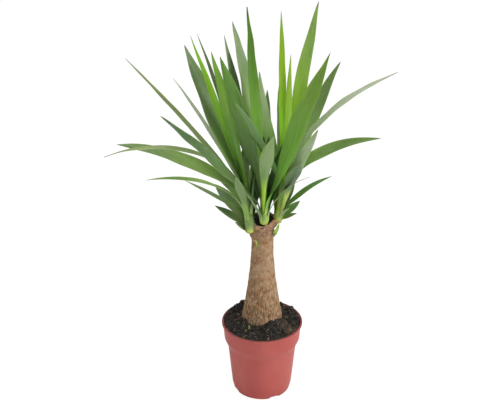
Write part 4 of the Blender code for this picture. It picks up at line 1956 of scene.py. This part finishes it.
SPROUTS = (
    Sprout(
        "curled_trunk_bud",
        "trunk_bud",
        Green.SAGE,
        (
            Leaflet(
                ((-8.6, -8, 246), (-7.2, -10.5, 253), (-10.6, -10.5, 258), (-13.6, -8, 251.5)), 2.1, 1.1
            ),
            Leaflet(((-8.6, -8, 245), (-8.2, -9.5, 247), (-7.0, -9.5, 248.5)), 1.4, 1.0),
        ),
    ),
    Sprout(
        "cane_side_sprout",
        "side_sprout",
        Green.STRONG,
        (
            Leaflet(
                ((17.0, -0.5, 262), (18.5, -5.5, 266), (22.0, -6.0, 272), (23.5, -3.5, 280)), 5.0, 0.95
            ),
            Leaflet(((17.6, 1.5, 266), (17.9, -2.5, 261), (16.2, -2.0, 256.5)), 3.8, 0.0),
            Leaflet(((18.5, 1, 260), (20.0, -2, 262), (20.5, -2, 266)), 3.0, 0.1),
        ),
    ),
    Sprout(
        "soil_seedling",
        "soil_sprout",
        Green.LIME,
        (
            Leaflet(
                ((-19.8, -27, 113), (-20.0, -27.5, 117), (-16.8, -28, 123), (-21.5, -28.5, 123)), 1.9, 2.4
            ),
            Leaflet(((-19.6, -27, 113), (-21.2, -28, 115.5), (-20.6, -28.5, 118.0)), 1.2, 2.2),
        ),
    ),
)


# --------------------------------------------------------------------------- studio


@dataclass(frozen=True)
class Lamp:
    """A square soft lamp: where it stands and its side in metres, and its power in watts."""

    name: str
    place: tuple[float, float, float]
    side: float
    watts: float

    def build(self, aim: Vector) -> None:
        """Hangs the lamp.

        Args:
            aim: the point that it faces, in metres.
        """
        data = bpy.data.lights.new(self.name, "AREA")
        data.shape = "SQUARE"
        data.size = self.side
        data.energy = self.watts
        lamp = bpy.data.objects.new(self.name, data)
        bpy.context.scene.collection.objects.link(lamp)
        lamp.location = self.place
        lamp.rotation_euler = (aim - Vector(self.place)).to_track_quat("-Z", "Y").to_euler()


@dataclass(frozen=True)
class Studio:
    """White sweep, soft lamps and the camera, a little above the plant and in front of it."""

    camera_place: tuple[float, float, float] = (-0.018, -1.5, 1.045)  # metres
    camera_tilt: float = 25.96
    lens_mm: float = 84.5
    sensor_mm: float = 36.0
    floor_metres: float = 12.0
    floor_colour: str = "#f4f4f2"
    glow: float = 1.08  # brightness of the floor where it is mixed in for the camera
    glow_share: float = 0.86
    ambient: float = 0.36
    aim: Vector = Vector((0, 0, 0.3))  # metres
    lamps: tuple[Lamp, ...] = (
        Lamp("key_lamp", (1.8, -0.9, 1.6), 1.0, 40),
        Lamp("fill_lamp", (-1.7, -1.6, 1.2), 1.8, 7),
        Lamp("top_lamp", (-0.3, 0.3, 2.3), 1.3, 24),
    )

    def floor(self) -> None:
        """Lays a pale floor that reads as white and keeps a faint shadow."""
        bpy.ops.mesh.primitive_plane_add(size=self.floor_metres, location=(0, 0, 0))
        floor = bpy.context.object
        floor.name = "studio_floor"
        material, tree, shader = new_material("matt_white_sweep")
        shader.inputs["Base Color"].default_value = linear(self.floor_colour)
        shader.inputs["Roughness"].default_value = 0.9
        glow = add_node(tree, "ShaderNodeEmission", {"Color": (1, 1, 1, 1), "Strength": self.glow})
        rays = add_node(tree, "ShaderNodeLightPath")
        seen = add_node(
            tree,
            "ShaderNodeMath",
            {0: rays.outputs["Is Camera Ray"], 1: self.glow_share},
            operation="MULTIPLY",
        ).outputs["Value"]
        mixed = add_node(
            tree, "ShaderNodeMixShader", {0: seen, 1: shader.outputs["BSDF"], 2: glow.outputs["Emission"]}
        )
        tree.links.new(mixed.outputs["Shader"], tree.nodes["Material Output"].inputs["Surface"])
        floor.data.materials.append(material)

    def world(self) -> None:
        """Sets even surroundings: white to the camera, dimmer as light, so the lamps model the plant."""
        world = bpy.data.worlds.new("studio_surroundings")
        bpy.context.scene.world = world
        world.use_nodes = True
        tree = world.node_tree
        background = tree.nodes["Background"]
        background.inputs["Color"].default_value = (1, 1, 1, 1)
        seen = add_node(tree, "ShaderNodeLightPath").outputs["Is Camera Ray"]
        strength = add_node(
            tree, "ShaderNodeMapRange", {"Value": seen, "To Min": self.ambient, "To Max": 1.0}
        ).outputs["Result"]
        tree.links.new(strength, background.inputs["Strength"])

    def camera(self) -> None:
        """Sets the camera at the height and tilt of a person who looks down on the plant."""
        data = bpy.data.cameras.new("studio_camera")
        data.lens = self.lens_mm
        data.sensor_width = self.sensor_mm
        camera = bpy.data.objects.new("studio_camera", data)
        bpy.context.scene.collection.objects.link(camera)
        camera.location = self.camera_place
        camera.rotation_euler = (math.radians(90 - self.camera_tilt), 0, 0)
        bpy.context.scene.camera = camera

    def build(self) -> None:
        """Sets up the floor, the lamps, the surroundings and the camera."""
        for obj in [o for o in bpy.data.objects if o.type in ("LIGHT", "CAMERA")]:
            bpy.data.objects.remove(obj)
        self.floor()
        for lamp in self.lamps:
            lamp.build(self.aim)
        self.world()
        self.camera()
        bpy.context.scene.view_settings.view_transform = "Standard"


def main() -> None:
    """Builds the plant, the pot and the studio, and logs each piece's points and faces."""
    logging.basicConfig(level=logging.INFO, format="%(name)s: %(message)s")
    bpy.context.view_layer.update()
    wardrobe = LeafWardrobe()
    NurseryPot().build()
    PottingSoil().build()
    Cane().build()
    for plant_part in (LEFT, MIDDLE, RIGHT, *SPROUTS):
        plant_part.build(wardrobe)
    Studio().build()
    bpy.context.view_layer.update()


if __name__ == "__main__":
    main()
